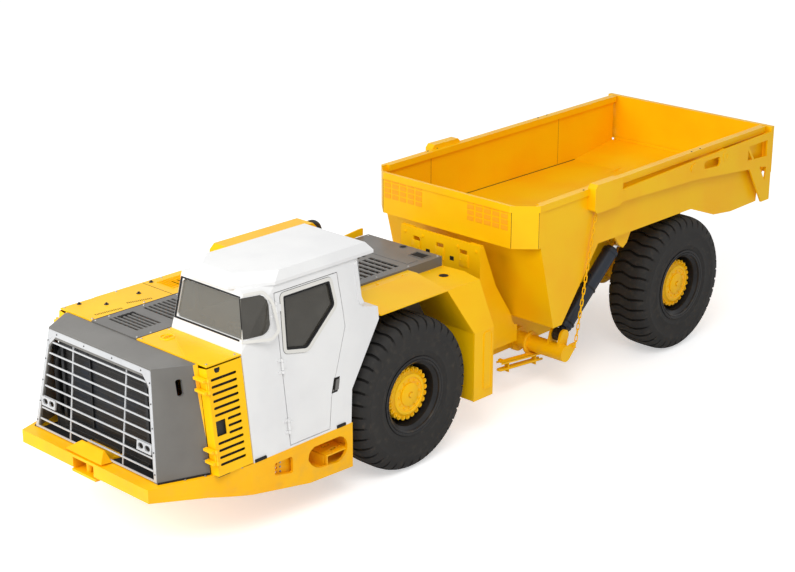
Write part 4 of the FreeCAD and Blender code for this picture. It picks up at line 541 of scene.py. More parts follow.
NOSE_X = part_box("bumper_deck")[1][0]
DECK_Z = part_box("cab_shell")[0][2]
HOOD_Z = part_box("rear_hood")[1][2]
HOOD_TOP = flat_place(HOOD_Z - 0.001)
SIDE_Y = 1.165
SIDE_LEAN = 0.124
SIDE_WALL = side_place((0, SIDE_Y, DECK_Z), (0, 1, SIDE_LEAN))
print("nose", round(NOSE_X, 3), "deck", round(DECK_Z, 3), "hood", round(HOOD_Z, 3))

# %% [markdown]
# ## Turned and bent parts
# Rings, hubs and tyres are turned: a profile of radius and place along the axle is spun once
# round. Hoses, handles and round bars are bent pipes: a smooth curve with a round section,
# copied into the mesh.

# %% Turned and bent parts
def lathe(mesh, profile, centre, axis, steps=72):
    """A turned ring: (radius, along) points spun about an axis through the centre."""
    axis = Vector(axis).normalized()
    side = axis.orthogonal().normalized()
    verts = [mesh.verts.new(Vector(centre) + side * radius + axis * along) for radius, along in profile]
    edges = [mesh.edges.new(pair) for pair in zip(verts, verts[1:] + verts[:1])]
    bmesh.ops.spin(mesh, geom=verts + edges, cent=centre, axis=axis, angle=TURN, steps=steps,
                   use_merge=True)


def pipe(mesh, points, radius, sides=3):
    """A bent pipe along a smooth line, made as a bevelled curve and copied into the mesh."""
    line = bpy.data.curves.new("pipe_line", "CURVE")
    line.dimensions = "3D"
    line.bevel_depth = radius
    line.bevel_resolution = sides
    line.use_fill_caps = True
    spline = line.splines.new("NURBS")
    spline.points.add(len(points) - 1)
    for point, place in zip(spline.points, points):
        point.co = (*place, 1.0)
    spline.order_u = 3
    spline.use_endpoint_u = True
    spline.resolution_u = 6
    holder = bpy.data.objects.new("pipe_line", line)
    shape = bpy.data.meshes.new_from_object(holder)
    mesh.from_mesh(shape)
    bpy.data.objects.remove(holder)
    bpy.data.meshes.remove(shape)
    bpy.data.curves.remove(line)


def on_circle(centre, radius, out, index, count):
    """A point on a circle about the axle."""
    angle = TURN * index / count
    return centre + Vector((math.cos(angle) * radius, out, math.sin(angle) * radius))


print("a quarter turn lies at", [round(value, 3) for value in on_circle(at(0, 0, 0), 1, 0, 1, 4)])

# %% [markdown]
# ## From shape to piece
# `finished` closes a bmesh's seams, turns its faces outwards, gives it a finish and lets it
# ride on a body of the truck. `piece` is written with an @ above a shaping function: it hands
# the function an empty bmesh and keeps the result under the function's own name. So each
# function below reads as one piece of the truck.

# %% From shape to piece
SEAM = 0.00002
SHARP = math.radians(38)


def finished(name, mesh, finish, body, smooth=False):
    """Turns a bmesh into an object that rides on a body with a finish."""
    bmesh.ops.remove_doubles(mesh, verts=mesh.verts, dist=SEAM)
    bmesh.ops.recalc_face_normals(mesh, faces=mesh.faces)
    data = bpy.data.meshes.new(name)
    mesh.to_mesh(data)
    mesh.free()
    if smooth:
        data.shade_smooth()
        data.set_sharp_from_angle(angle=SHARP)
    data.materials.append(FINISHES[finish])
    thing = shown(name, data)
    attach(thing, body)
    return thing


def piece(finish, body="front_unit", smooth=False):
    """Runs a shaping function on an empty bmesh and keeps what it made as a piece."""
    def make(shape):
        mesh = bmesh.new()
        shape(mesh)
        return finished(shape.__name__, mesh, finish, body, smooth)
    return make


# %% [markdown]
# ## Tyre tread
# A mine tyre has deep bars that run right across it and over the shoulder, with narrow curved
# grooves between them. The carcass is a spun profile. One bar is a small grid whose vertices
# are laid along the outer profile, so it curves over the shoulder and weaves a little; it is
# thickened towards the axle, and the spin operator repeats it round the wheel. A printed tread
# on a smooth ring would have no notches at its edge.

# %% Tyre tread
WHEELS = ("front_left", "front_right", "rear_left", "rear_right")
BARS = 38
CROWN = [(0.0, 0.7746, 0.0), (0.45, 0.7728, 0.115), (0.63, 0.7655, 0.166), (0.78, 0.745, 0.209),
         (0.9, 0.708, 0.2385), (1.0, 0.648, 0.2478)]
CARCASS = [(0.37, 0.205), (0.398, 0.232), (0.412, 0.2415), (0.452, 0.2435), (0.456, 0.2468),
           (0.468, 0.2468), (0.472, 0.2448), (0.56, 0.2482), (0.60, 0.2488), (0.604, 0.2498),
           (0.616, 0.2498), (0.62, 0.2486), (0.655, 0.2468), (0.70, 0.229), (0.727, 0.203),
           (0.741, 0.163), (0.7465, 0.11)]


def crown(share):
    """Radius and outward place of the tread surface, from 0 at the middle to 1 at its edge."""
    for (a, r0, y0), (b, r1, y1) in zip(CROWN, CROWN[1:]):
        if share <= b:
            part = (share - a) / (b - a)
            return r0 + part * (r1 - r0), y0 + part * (y1 - y0)
    return CROWN[-1][1:]


def bar_point(across, along, sunk):
    """Radius, outward place and angle of a point of one bar."""
    share = min(abs(across), 1.0)
    radius, out = crown(share)
    groove = 0.031 - 0.010 * share ** 3
    half = TURN / BARS / 2 - groove / radius / 2
    depth = 0.034 * (1 - share ** 8) + 0.004
    steep = share ** 3
    if sunk:
        radius -= depth * (1 - 0.75 * steep)
        out -= 0.9 * depth * steep + 0.004 * steep
    weave = 0.020 * math.sin(TURN * across * 0.9) + 0.04 * share * share
    return radius, math.copysign(out, across), along * half + weave


def tread_bar(mesh, centre):
    """One bar of the tread at the top of the wheel."""
    bmesh.ops.create_grid(mesh, x_segments=20, y_segments=1, size=1.0)
    sunk = bmesh.ops.extrude_face_region(mesh, geom=list(mesh.faces), use_keep_orig=True)["geom"]
    sunk = {part for part in sunk if isinstance(part, bmesh.types.BMVert)}
    for vert in mesh.verts:
        radius, out, angle = bar_point(vert.co.x, vert.co.y, vert in sunk)
        vert.co = Vector((math.sin(angle) * radius, out, math.cos(angle) * radius)) + centre


def tyre(name):
    """Carcass, bars and a dark groove floor of painted shade for one tyre, standing for its plain solid."""
    centre = middle(name)
    mesh = bmesh.new()
    tread_bar(mesh, centre)
    step = TURN / BARS
    bmesh.ops.spin(mesh, geom=list(mesh.verts) + list(mesh.edges) + list(mesh.faces), cent=centre,
                   axis=(0, 1, 0), angle=step * (BARS - 1), steps=BARS - 1, use_duplicate=True)
    carcass = bmesh.new()
    profile = CARCASS + [(radius, -out) for radius, out in reversed(CARCASS)]
    lathe(carcass, profile, centre, (0, 1, 0), 96)
    merge(mesh, carcass)
    made = finished("tread_" + name[5:], mesh, "tyre", "wheel_" + name[5:], smooth=True)
    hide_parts(name)
    # The dark ring under the bars is painted shade that makes the groove floors look deep.
    under = [point for point in CARCASS if point[0] > 0.69]
    skin = [(radius + 0.001, out + 0.0006) for radius, out in under]
    skin += [(radius, -out) for radius, out in reversed(skin)]
    low = [(radius - 0.006, out * 0.97) for radius, out in skin]
    floor = bmesh.new()
    lathe(floor, skin + low[::-1], centre, (0, 1, 0), 96)
    finished("painted_groove_shade_" + name[5:], floor, "gap", "wheel_" + name[5:], smooth=True)
    return made


for place in WHEELS:
    done = tyre("tyre_" + place)
    print(done.name, len(done.data.polygons), "faces, width", round(done.dimensions.y, 4))

# %% [markdown]
# ## Hubs and rims
# Each wheel is driven through a planetary hub. Its cover is a ring of round bosses with a bolt
# in each, round a raised centre plate with a filler plug. Outside it the black rim disc carries
# the wheel nuts, and a lock ring holds the rim's lip. The ring shapes are spun, and the bosses
# and nuts are rods and hexagon bolts set round a circle.

# %% Hubs and rims
HUB_FACE = 0.165
BOSSES = 24
NUTS = 20


def hub_cover(centre, side):
    """Scalloped yellow cover of the planetary hub."""
    mesh = bmesh.new()
    for index in range(BOSSES):
        foot = on_circle(centre, 0.243, side * 0.085, index, BOSSES)
        top = on_circle(centre, 0.243, side * 0.148, index, BOSSES)
        rod(mesh, foot, top, 0.0265, sides=14)
        bolt(mesh, top, (0, side, 0), 0.0125, 0.013)
    ring = [(0.206, HUB_FACE - 0.002), (0.206, HUB_FACE + 0.006), (0.196, HUB_FACE + 0.010),
            (0.176, HUB_FACE + 0.010), (0.172, HUB_FACE + 0.006), (0.172, HUB_FACE - 0.002)]
    disc = [(0.118, HUB_FACE - 0.002), (0.118, HUB_FACE + 0.012), (0.108, HUB_FACE + 0.018),
            (0.03, HUB_FACE + 0.020), (0.03, HUB_FACE - 0.002)]
    for profile in (ring, disc):
        lathe(mesh, [(radius, side * out) for radius, out in profile], centre, (0, 1, 0), 48)
    for index in range(12):
        bolt(mesh, on_circle(centre, 0.145, side * (HUB_FACE - 0.001), index, 12), (0, side, 0), 0.010, 0.012)
    bolt(mesh, centre + at(0, side * (HUB_FACE + 0.004), 0), (0, side, 0), 0.026, 0.026)
    return mesh


def rim_parts(centre, side):
    """Black wheel nuts, lock ring and tyre valve of one wheel."""
    mesh = bmesh.new()
    for index in range(NUTS):
        bolt(mesh, on_circle(centre, 0.283, side * 0.028, index, NUTS), (0, side, 0), 0.0135, 0.026)
    lip = [(0.352, 0.219), (0.352, 0.236), (0.360, 0.243), (0.368, 0.243), (0.372, 0.236), (0.372, 0.219)]
    step = [(0.322, 0.150), (0.322, 0.172), (0.330, 0.180), (0.334, 0.172), (0.334, 0.150)]
    for profile in (lip, step):
        lathe(mesh, [(radius, side * out) for radius, out in profile], centre, (0, 1, 0), 72)
    foot = on_circle(centre, 0.318, side * 0.10, 1, 7)
    rod(mesh, foot, foot + at(0, side * 0.07, 0), 0.007, sides=10)
    return mesh


for place in WHEELS:
    hub = middle("wheel_" + place)
    side = 1 if hub.y > 0 else -1
    finished("hub_cover_" + place, hub_cover(hub, side), "yellow", "wheel_" + place, smooth=True)
    finished("rim_parts_" + place, rim_parts(hub, side), "wheel_black", "wheel_" + place, smooth=True)
print("hubs:", BOSSES, "bosses and", NUTS, "nuts each")

# %% [markdown]
# ## Radiator guard
# The steel radiator guard is a band round a wide mouth, with level bars across it. Flat-headed
# bolts hold the band to the cowl, and two pairs of square lamp guards stand on the lower bars.
# Rubber strips close the joint between the cowl and the deck. All are plates, rods and slabs on
# the raked front plane of the cowl, because a flat drawing there needs no turning.

# %% Radiator guard
COWL_FOOT_X = NOSE_X - 0.13
COWL_RAKE = 0.112 / 0.99
FRONT_NORMAL = Vector((1, 0, COWL_RAKE)).normalized()
COWL_FRONT = front_place((COWL_FOOT_X, 0, DECK_Z), FRONT_NORMAL)
SIDE_LOW_Y, SIDE_TAPER = 0.880, 0.157
BAND_TOP_Z = HOOD_Z - 0.024
MOUTH_TOP_Z = HOOD_Z - 0.076
BAR_HEIGHTS = (1.650, 1.542, 1.434, 1.326, 1.219, 1.112, 1.000, 0.890)


def cowl_edge(height, inset):
    """Half width of the cowl's front at a height, less an inset."""
    return SIDE_LOW_Y - SIDE_TAPER * (height - DECK_Z) - inset


def band_outline(inset, low, top, corner):
    """Outline of the radiator mouth or of the band round it."""
    right = [(cowl_edge(low, inset), low), (cowl_edge(top - corner, inset), top - corner),
             (cowl_edge(top, inset) - corner * 0.8, top)]
    return right + [(-y, z) for y, z in reversed(right)]


@piece("silver")
def radiator_guard(mesh):
    """Band, level bars and two uprights of the radiator guard."""
    mouth = band_outline(0.036, DECK_Z + 0.030, MOUTH_TOP_Z, 0.045)
    band = band_outline(0.002, DECK_Z + 0.012, BAND_TOP_Z, 0.010)
    pierced_plate(mesh, band, [mouth], lifted(COWL_FRONT, -0.001), 0.006)
    for height in BAR_HEIGHTS:
        half = cowl_edge(height, 0.030)
        centre = COWL_FRONT @ at(0, height, -0.008)
        turn = Matrix.Translation(centre) @ Matrix.Rotation(-math.atan(COWL_RAKE), 4, "Y")
        slab(mesh, (-0.006, -half, -0.0075), (0.006, half, 0.0075), 0.002, turn)
    for side in SIDES:
        foot, head = COWL_FRONT @ at(side * 0.38, 0.805, -0.020), COWL_FRONT @ at(side * 0.38, 1.72, -0.020)
        rod(mesh, foot, head, 0.0085, sides=8)
        gusset = [(side * cowl_edge(1.62, 0.036), 1.62),
                  (side * (cowl_edge(1.70, 0.036) - 0.085), MOUTH_TOP_Z),
                  (side * (cowl_edge(MOUTH_TOP_Z, 0.030)), MOUTH_TOP_Z)]
        cut_plate(mesh, gusset, lifted(COWL_FRONT, -0.001), 0.004)


@piece("black", smooth=True)
def grille_bolts(mesh):
    """Round bolts along the band."""
    spots = [(y, (BAND_TOP_Z + MOUTH_TOP_Z) / 2) for y in (-0.60, -0.2, 0.2, 0.60)]
    for height in (0.87, 1.06, 1.27, 1.48, 1.66):
        spots += [(cowl_edge(height, 0.018), height), (-cowl_edge(height, 0.018), height)]
    for y, z in spots:
        foot = COWL_FRONT @ at(y, z, 0.004)
        rod(mesh, foot, foot + FRONT_NORMAL * 0.005, 0.008, 0.006, 10)


@piece("silver")
def lamp_guards(mesh):
    """Pairs of square frames on the lower bars of the grille."""
    for start in (-0.785, 0.595):
        holes = [slot_line(start + 0.016, start + 0.088, 1.048, 1.100),
                 slot_line(start + 0.108, start + 0.180, 1.048, 1.100)]
        plate = oblong(start, start + 0.196, 1.030, 1.118)
        pierced_plate(mesh, plate, holes, lifted(COWL_FRONT, -0.006), 0.018)


@piece("rubber")
def cowl_seal(mesh):
    """Black strips along the foot of the cowl."""
    foot = DECK_Z + 0.0005
    for side in SIDES:
        line = [(NOSE_X - 0.150, side * 0.862), (NOSE_X - 0.124, side * 0.892),
                (NOSE_X - 0.572, side * 1.064), (NOSE_X - 0.572, side * 1.034)]
        cut_plate(mesh, line, flat_place(foot), 0.014)


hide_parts("radiator_grille")
print("guard has", len(BAR_HEIGHTS), "bars, foot half width", round(cowl_edge(DECK_Z, 0), 3))

# %% [markdown]
# ## Radiator pack and tow cover
# Between the bars one sees the finned core with its tanks, posts and hoses, and a dark sheet on
# the deck that is painted shade, partly a black mat. Slabs and pipes are enough, since the fins
# are in the core's finish. The tow cover is one block whose upper edge is drawn in to a peak
# before its edges are bevelled.

# %% Radiator pack and tow cover
CORE_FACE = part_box("radiator_core")[1][0]
TOW_X = 4.500
SHADE_SHEET_THICKNESS = 0.006


@piece("black")
def radiator_pack(mesh):
    """Header tanks, side posts and a hose in front of the finned core."""
    for side in SIDES:
        slab(mesh, (CORE_FACE, side * 0.60 - 0.02, 0.80), (CORE_FACE + 0.028, side * 0.60 + 0.02, 1.66),
             0.004)
    slab(mesh, (CORE_FACE, -0.62, 1.62), (CORE_FACE + 0.035, 0.62, 1.685), 0.006)
    slab(mesh, (CORE_FACE, -0.62, 0.80), (CORE_FACE + 0.030, 0.62, 0.85), 0.006)
    slab(mesh, (CORE_FACE, -0.215, 0.85), (CORE_FACE + 0.018, -0.195, 1.62), 0.003)
    for y in (-0.60, -0.2, 0.2, 0.60):
        for z in (0.825, 1.652):
            bolt(mesh, (CORE_FACE + 0.030, y, z), (1, 0, 0), 0.009, 0.010)


@piece("rubber", smooth=True)
def radiator_hoses(mesh):
    """Coolant and oil hoses beside the core."""
    face = CORE_FACE + 0.03
    pipe(mesh, [at(face - 0.08, -0.69, 1.58), at(face, -0.69, 1.50), at(face + 0.02, -0.665, 1.2),
                at(face + 0.01, -0.69, 0.95), at(face - 0.08, -0.70, 0.88)], 0.022)
    pipe(mesh, [at(face - 0.06, 0.69, 1.50), at(face, 0.68, 1.42), at(face + 0.01, 0.67, 1.1),
                at(face - 0.06, 0.69, 0.92)], 0.018)


@piece("rubber")
def radiator_floor_shade(mesh):
    """Dark sheet and walls on the deck behind the guard: painted shade, partly a black rubber mat."""
    # Painted shade: a black sheet and walls make the space behind the guard as dark as its shadow.
    slab(mesh, (4.12, -0.82, DECK_Z), (4.405, 0.82, DECK_Z + SHADE_SHEET_THICKNESS), 0.002)
    for side in SIDES:
        slab(mesh, (4.06, side * 0.73 - 0.01, DECK_Z), (4.30, side * 0.73 + 0.01, 1.60), 0.004)
    slab(mesh, (4.275, -0.72, DECK_Z + SHADE_SHEET_THICKNESS), (4.295, 0.72, 0.93), 0.004)


@piece("pin_yellow")
def tow_hood(mesh):
    """Peaked cover over the tow jaw, and the pin under it."""
    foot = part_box("tow_pin")[0][2]
    slab(mesh, (4.448, -0.262, DECK_Z + 0.010), (4.573, 0.262, DECK_Z + 0.094))
    for vert in mesh.verts:
        if vert.co.z > DECK_Z + 0.05:
            vert.co.y *= 0.62
            vert.co.x = 4.449 + (vert.co.x > TOW_X) * 0.016
        elif vert.co.x > TOW_X:
            vert.co.z += 0.012
    rounded(mesh, mesh.edges[:], 0.004)
    rod(mesh, (TOW_X, 0, foot), (TOW_X, 0, DECK_Z + 0.02), 0.032)
    rod(mesh, (TOW_X, 0, foot), (TOW_X, 0, foot + 0.016), 0.044)


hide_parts("tow_pin")
print("radiator pack made")

# %% [markdown]
# ## Deck, treads and cab feet
# The steps beside the wheels have round grip buttons, and plates close the wells behind them.
# Bolts hold the tow plate and the tie-down plates, and the cab and covers rest on black rubber
# blocks. These small parts repeat along straight lines, so loops place rods and slabs.

# %% Deck, treads and cab feet
TREAD_LOW_Z = 0.432
TREAD_HIGH_Z = 0.556


@piece("orange", smooth=True)
def tread_buttons(mesh):
    """Raised grip buttons on both steps of each side."""
    for side in SIDES:
        for x0, x1, z in ((2.46, 2.66, TREAD_HIGH_Z), (2.71, 2.96, TREAD_LOW_Z)):
            x = x0
            while x < x1:
                for y in (0.925, 0.99, 1.08, 1.13):
                    rod(mesh, (x, side * y, z - 0.001), (x, side * y, z + 0.005), 0.010, 0.007, 8)
                x += 0.042


@piece("steel", smooth=True)
def deck_bolts(mesh):
    """Bolts of the deck's edge, the tow plate and the tie-down plates."""
    for side in SIDES:
        for x in (4.335, 4.49):
            bolt(mesh, (x, side * 0.135, DECK_Z + 0.024), (0, 0, 1), 0.013, 0.012)
        for x, y in ((4.22, 0.93), (4.05, 1.00), (3.72, 1.10)):
            bolt(mesh, (x, side * (y + 0.05), DECK_Z), (0, 0, 1), 0.011, 0.010)
        for z in (0.574, 0.618, 0.662):
            for x in (3.232, 3.358):
                bolt(mesh, (x, side * 1.109, z), (0, side, 0), 0.008, 0.008)


@piece("rubber")
def cab_feet(mesh):
    """Black rubber blocks between the cab or covers and the deck."""
    for x0, x1 in ((3.44, 3.575), (2.455, 2.566)):
        slab(mesh, (x0, 1.03, DECK_Z + 0.001), (x1, SIDE_Y + 0.010, DECK_Z + 0.030), 0.005)
    for x0, x1 in ((3.40, 3.52), (2.50, 2.62)):
        slab(mesh, (x0, -SIDE_Y - 0.006, DECK_Z + 0.001), (x1, -1.04, DECK_Z + 0.026), 0.005)
    slab(mesh, (3.86, 1.10, DECK_Z + 0.001), (3.99, 1.163, DECK_Z + 0.007), 0.002)


@piece("orange")
def step_backs(mesh):
    """Back and rear plates that close the step wells."""
    for side in SIDES:
        inner = side * 0.905
        slab(mesh, (2.40, inner, 0.36), (3.02, side * 0.911, 0.77))
        slab(mesh, (2.395, inner, 0.36), (2.401, side * 1.13, 0.77))
        slab(mesh, (2.70, inner, 0.425), (2.706, side * 1.13, 0.55))
        slab(mesh, (2.40, inner, 0.424), (2.706, side * 1.146, 0.431))


print("deck trim made")

# %% [markdown]
# ## Louvred doors
# The service door ahead of the cab has slots, a square vent and a latch in a cut-out. A pierced
# plate with folded edges makes the panel and stands for the frame's plain one. Behind it lies a
# dark perforated sheet that moves with it; its holes are painted shade in its finish, because
# thousands of real ones would be too heavy.

# %% Louvred doors
SLOT_HEIGHTS = [1.657 - 0.0635 * index for index in range(13)]
DOOR_BACK_X, DOOR_FRONT_X = 3.596, 3.990
DOOR_LOW_Z, DOOR_TOP_Z = 0.799, 1.765


def side_wall(side):
    """Leaning side wall of the truck, as (x, z, outward)."""
    return side_place((0, side * SIDE_Y, DECK_Z), Vector((0, side, SIDE_LEAN)))


def louvred_panel(side):
    """Door panel with its slots, vent and latch opening, its folded front edge and its hinges."""
    mesh = bmesh.new()
    wall = side_wall(side)
    holes = []
    for index, height in enumerate(SLOT_HEIGHTS):
        front = 3.820 if 6 <= index <= 8 else 3.955
        holes.append(slot_line(3.666, front, height - 0.0125, height + 0.0125))
    holes.append([(3.848, 1.150), (3.948, 1.150), (3.955, 1.157), (3.955, 1.288), (3.848, 1.288)])
    holes.append([(3.842, 1.730), (3.856, 1.707), (3.892, 1.707), (3.906, 1.730), (3.906, 1.752),
                  (3.842, 1.752)])
    outline = oblong(DOOR_BACK_X, DOOR_FRONT_X, DOOR_LOW_Z, DOOR_TOP_Z)
    pierced_plate(mesh, outline, holes, lifted(wall, -0.006), 0.006)
    for x0, x1 in ((DOOR_BACK_X, DOOR_BACK_X + 0.006), (DOOR_FRONT_X - 0.006, DOOR_FRONT_X)):
        depth = 0.034 if x0 < 3.7 else 0.104
        edge = oblong(x0, x1, DOOR_LOW_Z, DOOR_TOP_Z)
        cut_plate(mesh, edge, lifted(wall, -depth), depth - 0.006)
    for height in (0.98, 1.62):
        foot, head = wall @ at(3.999, height - 0.045, -0.006), wall @ at(3.999, height + 0.045, -0.006)
        rod(mesh, foot, head, 0.0105, sides=12)
    return mesh


def door_lining(side):
    """Perforated sheet behind the slots of one louvred door."""
    sheet = bmesh.new()
    outline = oblong(3.630, 3.975, 0.83, 1.755)
    cut_plate(sheet, outline, lifted(side_wall(side), -0.030), 0.003)
    return sheet


def door_latch(side):
    """Black latch in its opening."""
    mesh = bmesh.new()
    wall = side_wall(side)
    latch = [(3.843, 1.730), (3.857, 1.708), (3.891, 1.708), (3.905, 1.730), (3.905, 1.751), (3.843, 1.751)]
    cut_plate(mesh, latch, lifted(wall, -0.014), 0.010)
    cut_plate(mesh, oblong(3.862, 3.886, 1.716, 1.744), lifted(wall, -0.006), 0.006, 0.006)
    return mesh


def door_rivets(side):
    """Small rivets down both edges of the door."""
    wall = side_wall(side)
    mesh = bmesh.new()
    out = Vector((0, side, SIDE_LEAN)).normalized()
    for index in range(9):
        height = 0.86 + index * 0.105
        for x in (3.622, 3.975):
            foot = wall @ at(x, height, -0.001)
            rod(mesh, foot, foot + out * 0.004, 0.006, 0.004, 8)
    return mesh


for side, name in HANDS:
    body = name + "_louvred_door"
    panel = finished("louvred_panel_" + name, louvred_panel(side), "yellow", body)
    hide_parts(body)
    finished("louvre_lining_" + name, door_lining(side), "mesh", body)
    finished("louvre_latch_" + name, door_latch(side), "black", body)
    finished("louvre_rivets_" + name, door_rivets(side), "yellow", body, smooth=True)
print("louvred doors:", len(SLOT_HEIGHTS), "slots each")

# %% [markdown]
# ## Engine top
# Through the gratings one sees the top of the engine: valve covers, a rusty exhaust manifold and
# pale hoses, partly a painted highlight. The covers are bevelled slabs and the hoses are bent
# pipes. Only what shows from above is made; the rest of the engine is one block of the frame.

# %% Engine top
ENGINE_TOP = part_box("engine_block")[1][2]


def over(x, y, rise):
    """A point at a height above the engine."""
    return at(x, y, ENGINE_TOP + rise)


@piece("iron")
def engine_tops(mesh):
    """Valve covers and intake box on the engine."""
    for index in range(3):
        x = 2.86 + index * 0.34
        slab(mesh, (x, -0.36, ENGINE_TOP), (x + 0.28, -0.20, ENGINE_TOP + 0.075), 0.014)
        slab(mesh, (x, -0.12, ENGINE_TOP), (x + 0.28, 0.03, ENGINE_TOP + 0.055), 0.012)
        for y in (-0.28, -0.045):
            bolt(mesh, (x + 0.14, y, ENGINE_TOP + (0.075 if y < -0.2 else 0.055)), (0, 0, 1), 0.013, 0.014)
    slab(mesh, (2.80, -0.50, ENGINE_TOP - 0.14), (3.72, -0.41, ENGINE_TOP - 0.02), 0.02)


@piece("rust", smooth=True)
def exhaust_manifold(mesh):
    """Rust-brown exhaust manifold with its branches."""
    line = [over(2.66, -0.45, 0.06), over(2.95, -0.45, 0.075), over(3.4, -0.44, 0.075),
            over(3.82, -0.40, 0.06)]
    pipe(mesh, line, 0.042)
    for index in range(6):
        x = 2.90 + index * 0.155
        pipe(mesh, [over(x, -0.45, 0.07), over(x, -0.39, 0.065), over(x, -0.34, 0.03)], 0.026, 2)


@piece("hose", smooth=True)
def engine_hoses(mesh):
    """Pale hoses over the engine."""
    # Their pale colour is partly their own and partly a painted highlight.
    for shift in (0.0, 0.05, 0.1):
        pipe(mesh, [over(3.90, -0.30 + shift, -0.05), over(3.72, -0.26 + shift, 0.11),
                    over(3.35, -0.18 + shift, 0.12), over(3.0, -0.22 + shift, 0.11),
                    over(2.78, -0.16 + shift, -0.02)], 0.014, 2)
    pipe(mesh, [over(3.86, 0.0, 0.02), over(3.6, -0.06, 0.13), over(3.1, -0.02, 0.13),
                over(2.7, -0.06, 0.02)], 0.020, 2)


print("engine top made")

# %% [markdown]
# ## Hood details
# The covers carry rows of small slots, black catches, a block of air slats and a sunk handle.
# The slots are thin dark slabs just proud of the sheet, painted shade in place of holes; cut holes this small
# would not show more.

# %% Hood details
def slot_rows(mesh, start, end, count, rows, width, length, height):
    """Rows of thin dark slots along a line on a level cover."""
    run = Vector(end) - Vector(start)
    across = Vector((-run.y, run.x)).normalized()
    for index in range(count):
        for row in range(rows):
            spot = Vector(start) + run * ((index + 0.5) / count) + across * (row * width * 2.2)
            slab(mesh, (spot.x - width / 2, spot.y - length / 2, height - 0.002),
                 (spot.x + width / 2, spot.y + length / 2, height + 0.0008))


@piece("gap")
def hood_slots(mesh):
    """Perforations of the right cover and the notch beside the split as dark slabs of painted shade, with
    dark seam lines.
    """
    # Painted shade: dark slabs stand for the shadowed insides of the slots and the notch; the long thin lines
    # are seams.
    slot_rows(mesh, (3.876, -0.646), (3.587, -0.608), 15, 2, 0.008, 0.014, HOOD_Z)
    slot_rows(mesh, (3.48, -0.686), (3.229, -0.618), 14, 2, 0.008, 0.014, HOOD_Z)
    slab(mesh, (2.43, -0.566, HOOD_Z - 0.004), (3.97, -0.557, HOOD_Z + 0.0012))
    slab(mesh, (3.02, -1.02, HOOD_Z - 0.003), (3.026, -0.575, HOOD_Z + 0.0008))
    slab(mesh, (3.575, -0.47, HOOD_Z - 0.002), (3.765, -0.435, HOOD_Z + 0.001))
    slab(mesh, (3.10, 0.085, HOOD_Z - 0.003), (3.975, 0.092, HOOD_Z + 0.0012))


@piece("black", smooth=True)
def hood_catches(mesh):
    """Black catches of the right cover, with their round feet."""
    for x, y in ((3.627, -0.802), (3.233, -0.82), (2.95, -0.985), (3.80, -0.99)):
        rod(mesh, (x, y, HOOD_Z - 0.001), (x, y, HOOD_Z + 0.005), 0.024, 0.021, 16)
        rod(mesh, (x, y, HOOD_Z + 0.004), (x, y, HOOD_Z + 0.018), 0.012, 0.010, 12)


@piece("yellow")
def hood_louvres(mesh):
    """Raised yellow air slats on the right cover."""
    count = 9
    for index in range(count):
        x = 2.625 + index * 0.033
        tilt = Matrix.Translation((x, 0, HOOD_Z + 0.004)) @ Matrix.Rotation(math.radians(-28), 4, "Y")
        slab(mesh, (-0.013, -0.925, -0.002), (0.013, -0.72, 0.002), turn=tilt)
    slab(mesh, (2.605, -0.945, HOOD_Z - 0.001), (2.92, -0.93, HOOD_Z + 0.008), 0.003)
    slab(mesh, (2.605, -0.715, HOOD_Z - 0.001), (2.92, -0.70, HOOD_Z + 0.008), 0.003)


@piece("yellow", smooth=True)
def cover_handle(mesh):
    """Lifting handle in a round recess of the left cover, with its raised ring."""
    spot = at(3.77, 0.26, HOOD_Z)
    ring = [(0.056, -0.002), (0.056, 0.004), (0.062, 0.008), (0.070, 0.006), (0.074, -0.002)]
    lathe(mesh, ring, spot, (0, 0, 1), 40)
    pipe(mesh, [spot + at(-0.05, 0.0, 0.001), spot + at(-0.03, 0, 0.010), spot + at(0.03, 0, 0.010),
                spot + at(0.05, 0.0, 0.001)], 0.006)


@piece("yellow")
def cover_fold(mesh):
    """Raised fold that stiffens the left cover."""
    ridge = [(3.60, 0.125), (3.615, 0.112), (3.968, 0.742), (3.952, 0.752)]
    cut_plate(mesh, ridge, HOOD_TOP, 0.0035, 0.004)


print("hood details made")

# %% [markdown]
# ## Cover bolts and grating bars
# Button bolts run round the covers, and flat bars cross the gratings just under them. Their
# places are lists of rows, because the same bolt and bar repeat along straight lines.

# %% Cover bolts and grating bars
@piece("steel", smooth=True)
def cover_bolts(mesh):
    """Button bolts round the grey and yellow covers."""
    spots = [(x, y) for x in (2.24, 2.62, 3.0, 3.40, 3.80, 3.955) for y in (-0.535, 0.065)]
    spots += [(x, y) for x in (2.45, 2.80, 3.35, 3.95) for y in (-1.015, -0.59)]
    spots += [(3.63, 0.12), (3.95, 0.12), (3.63, 1.0), (3.95, 1.0)]
    spots += [(x, side * 0.49) for x in (0.47, 0.9, 1.35, 1.85) for side in (1, -1)]
    for x, y in spots:
        rod(mesh, (x, y, HOOD_Z - 0.001), (x, y, HOOD_Z + 0.006), 0.012, 0.009, 10)


@piece("grey")
def grating_bars(mesh):
    """Flat bars that cross the gratings under the covers."""
    for y in (-0.44, -0.37, -0.30, -0.23, -0.16, -0.09):
        for x0, x1 in ((3.57, 3.87), (3.09, 3.47), (2.60, 2.99)):
            slab(mesh, (x0, y - 0.003, HOOD_Z - 0.030), (x1, y + 0.003, HOOD_Z - 0.012))
    for side in SIDES:
        for y in (0.08, 0.17, 0.26, 0.35):
            slab(mesh, (0.94, side * y - 0.003, HOOD_Z - 0.030), (1.80, side * y + 0.003, HOOD_Z - 0.012))


print("covers bolted")

# %% [markdown]
# ## Cab windows
# The cab's panes are bonded in behind raised steel frames with rounded corners and a black
# gasket. Each frame follows the outline of its window on its leaning wall: one flat face on
# that wall is inset to a ring and extruded. The windshield and the quarter pane meet glass to
# glass at the corner with only a thin dark seal.

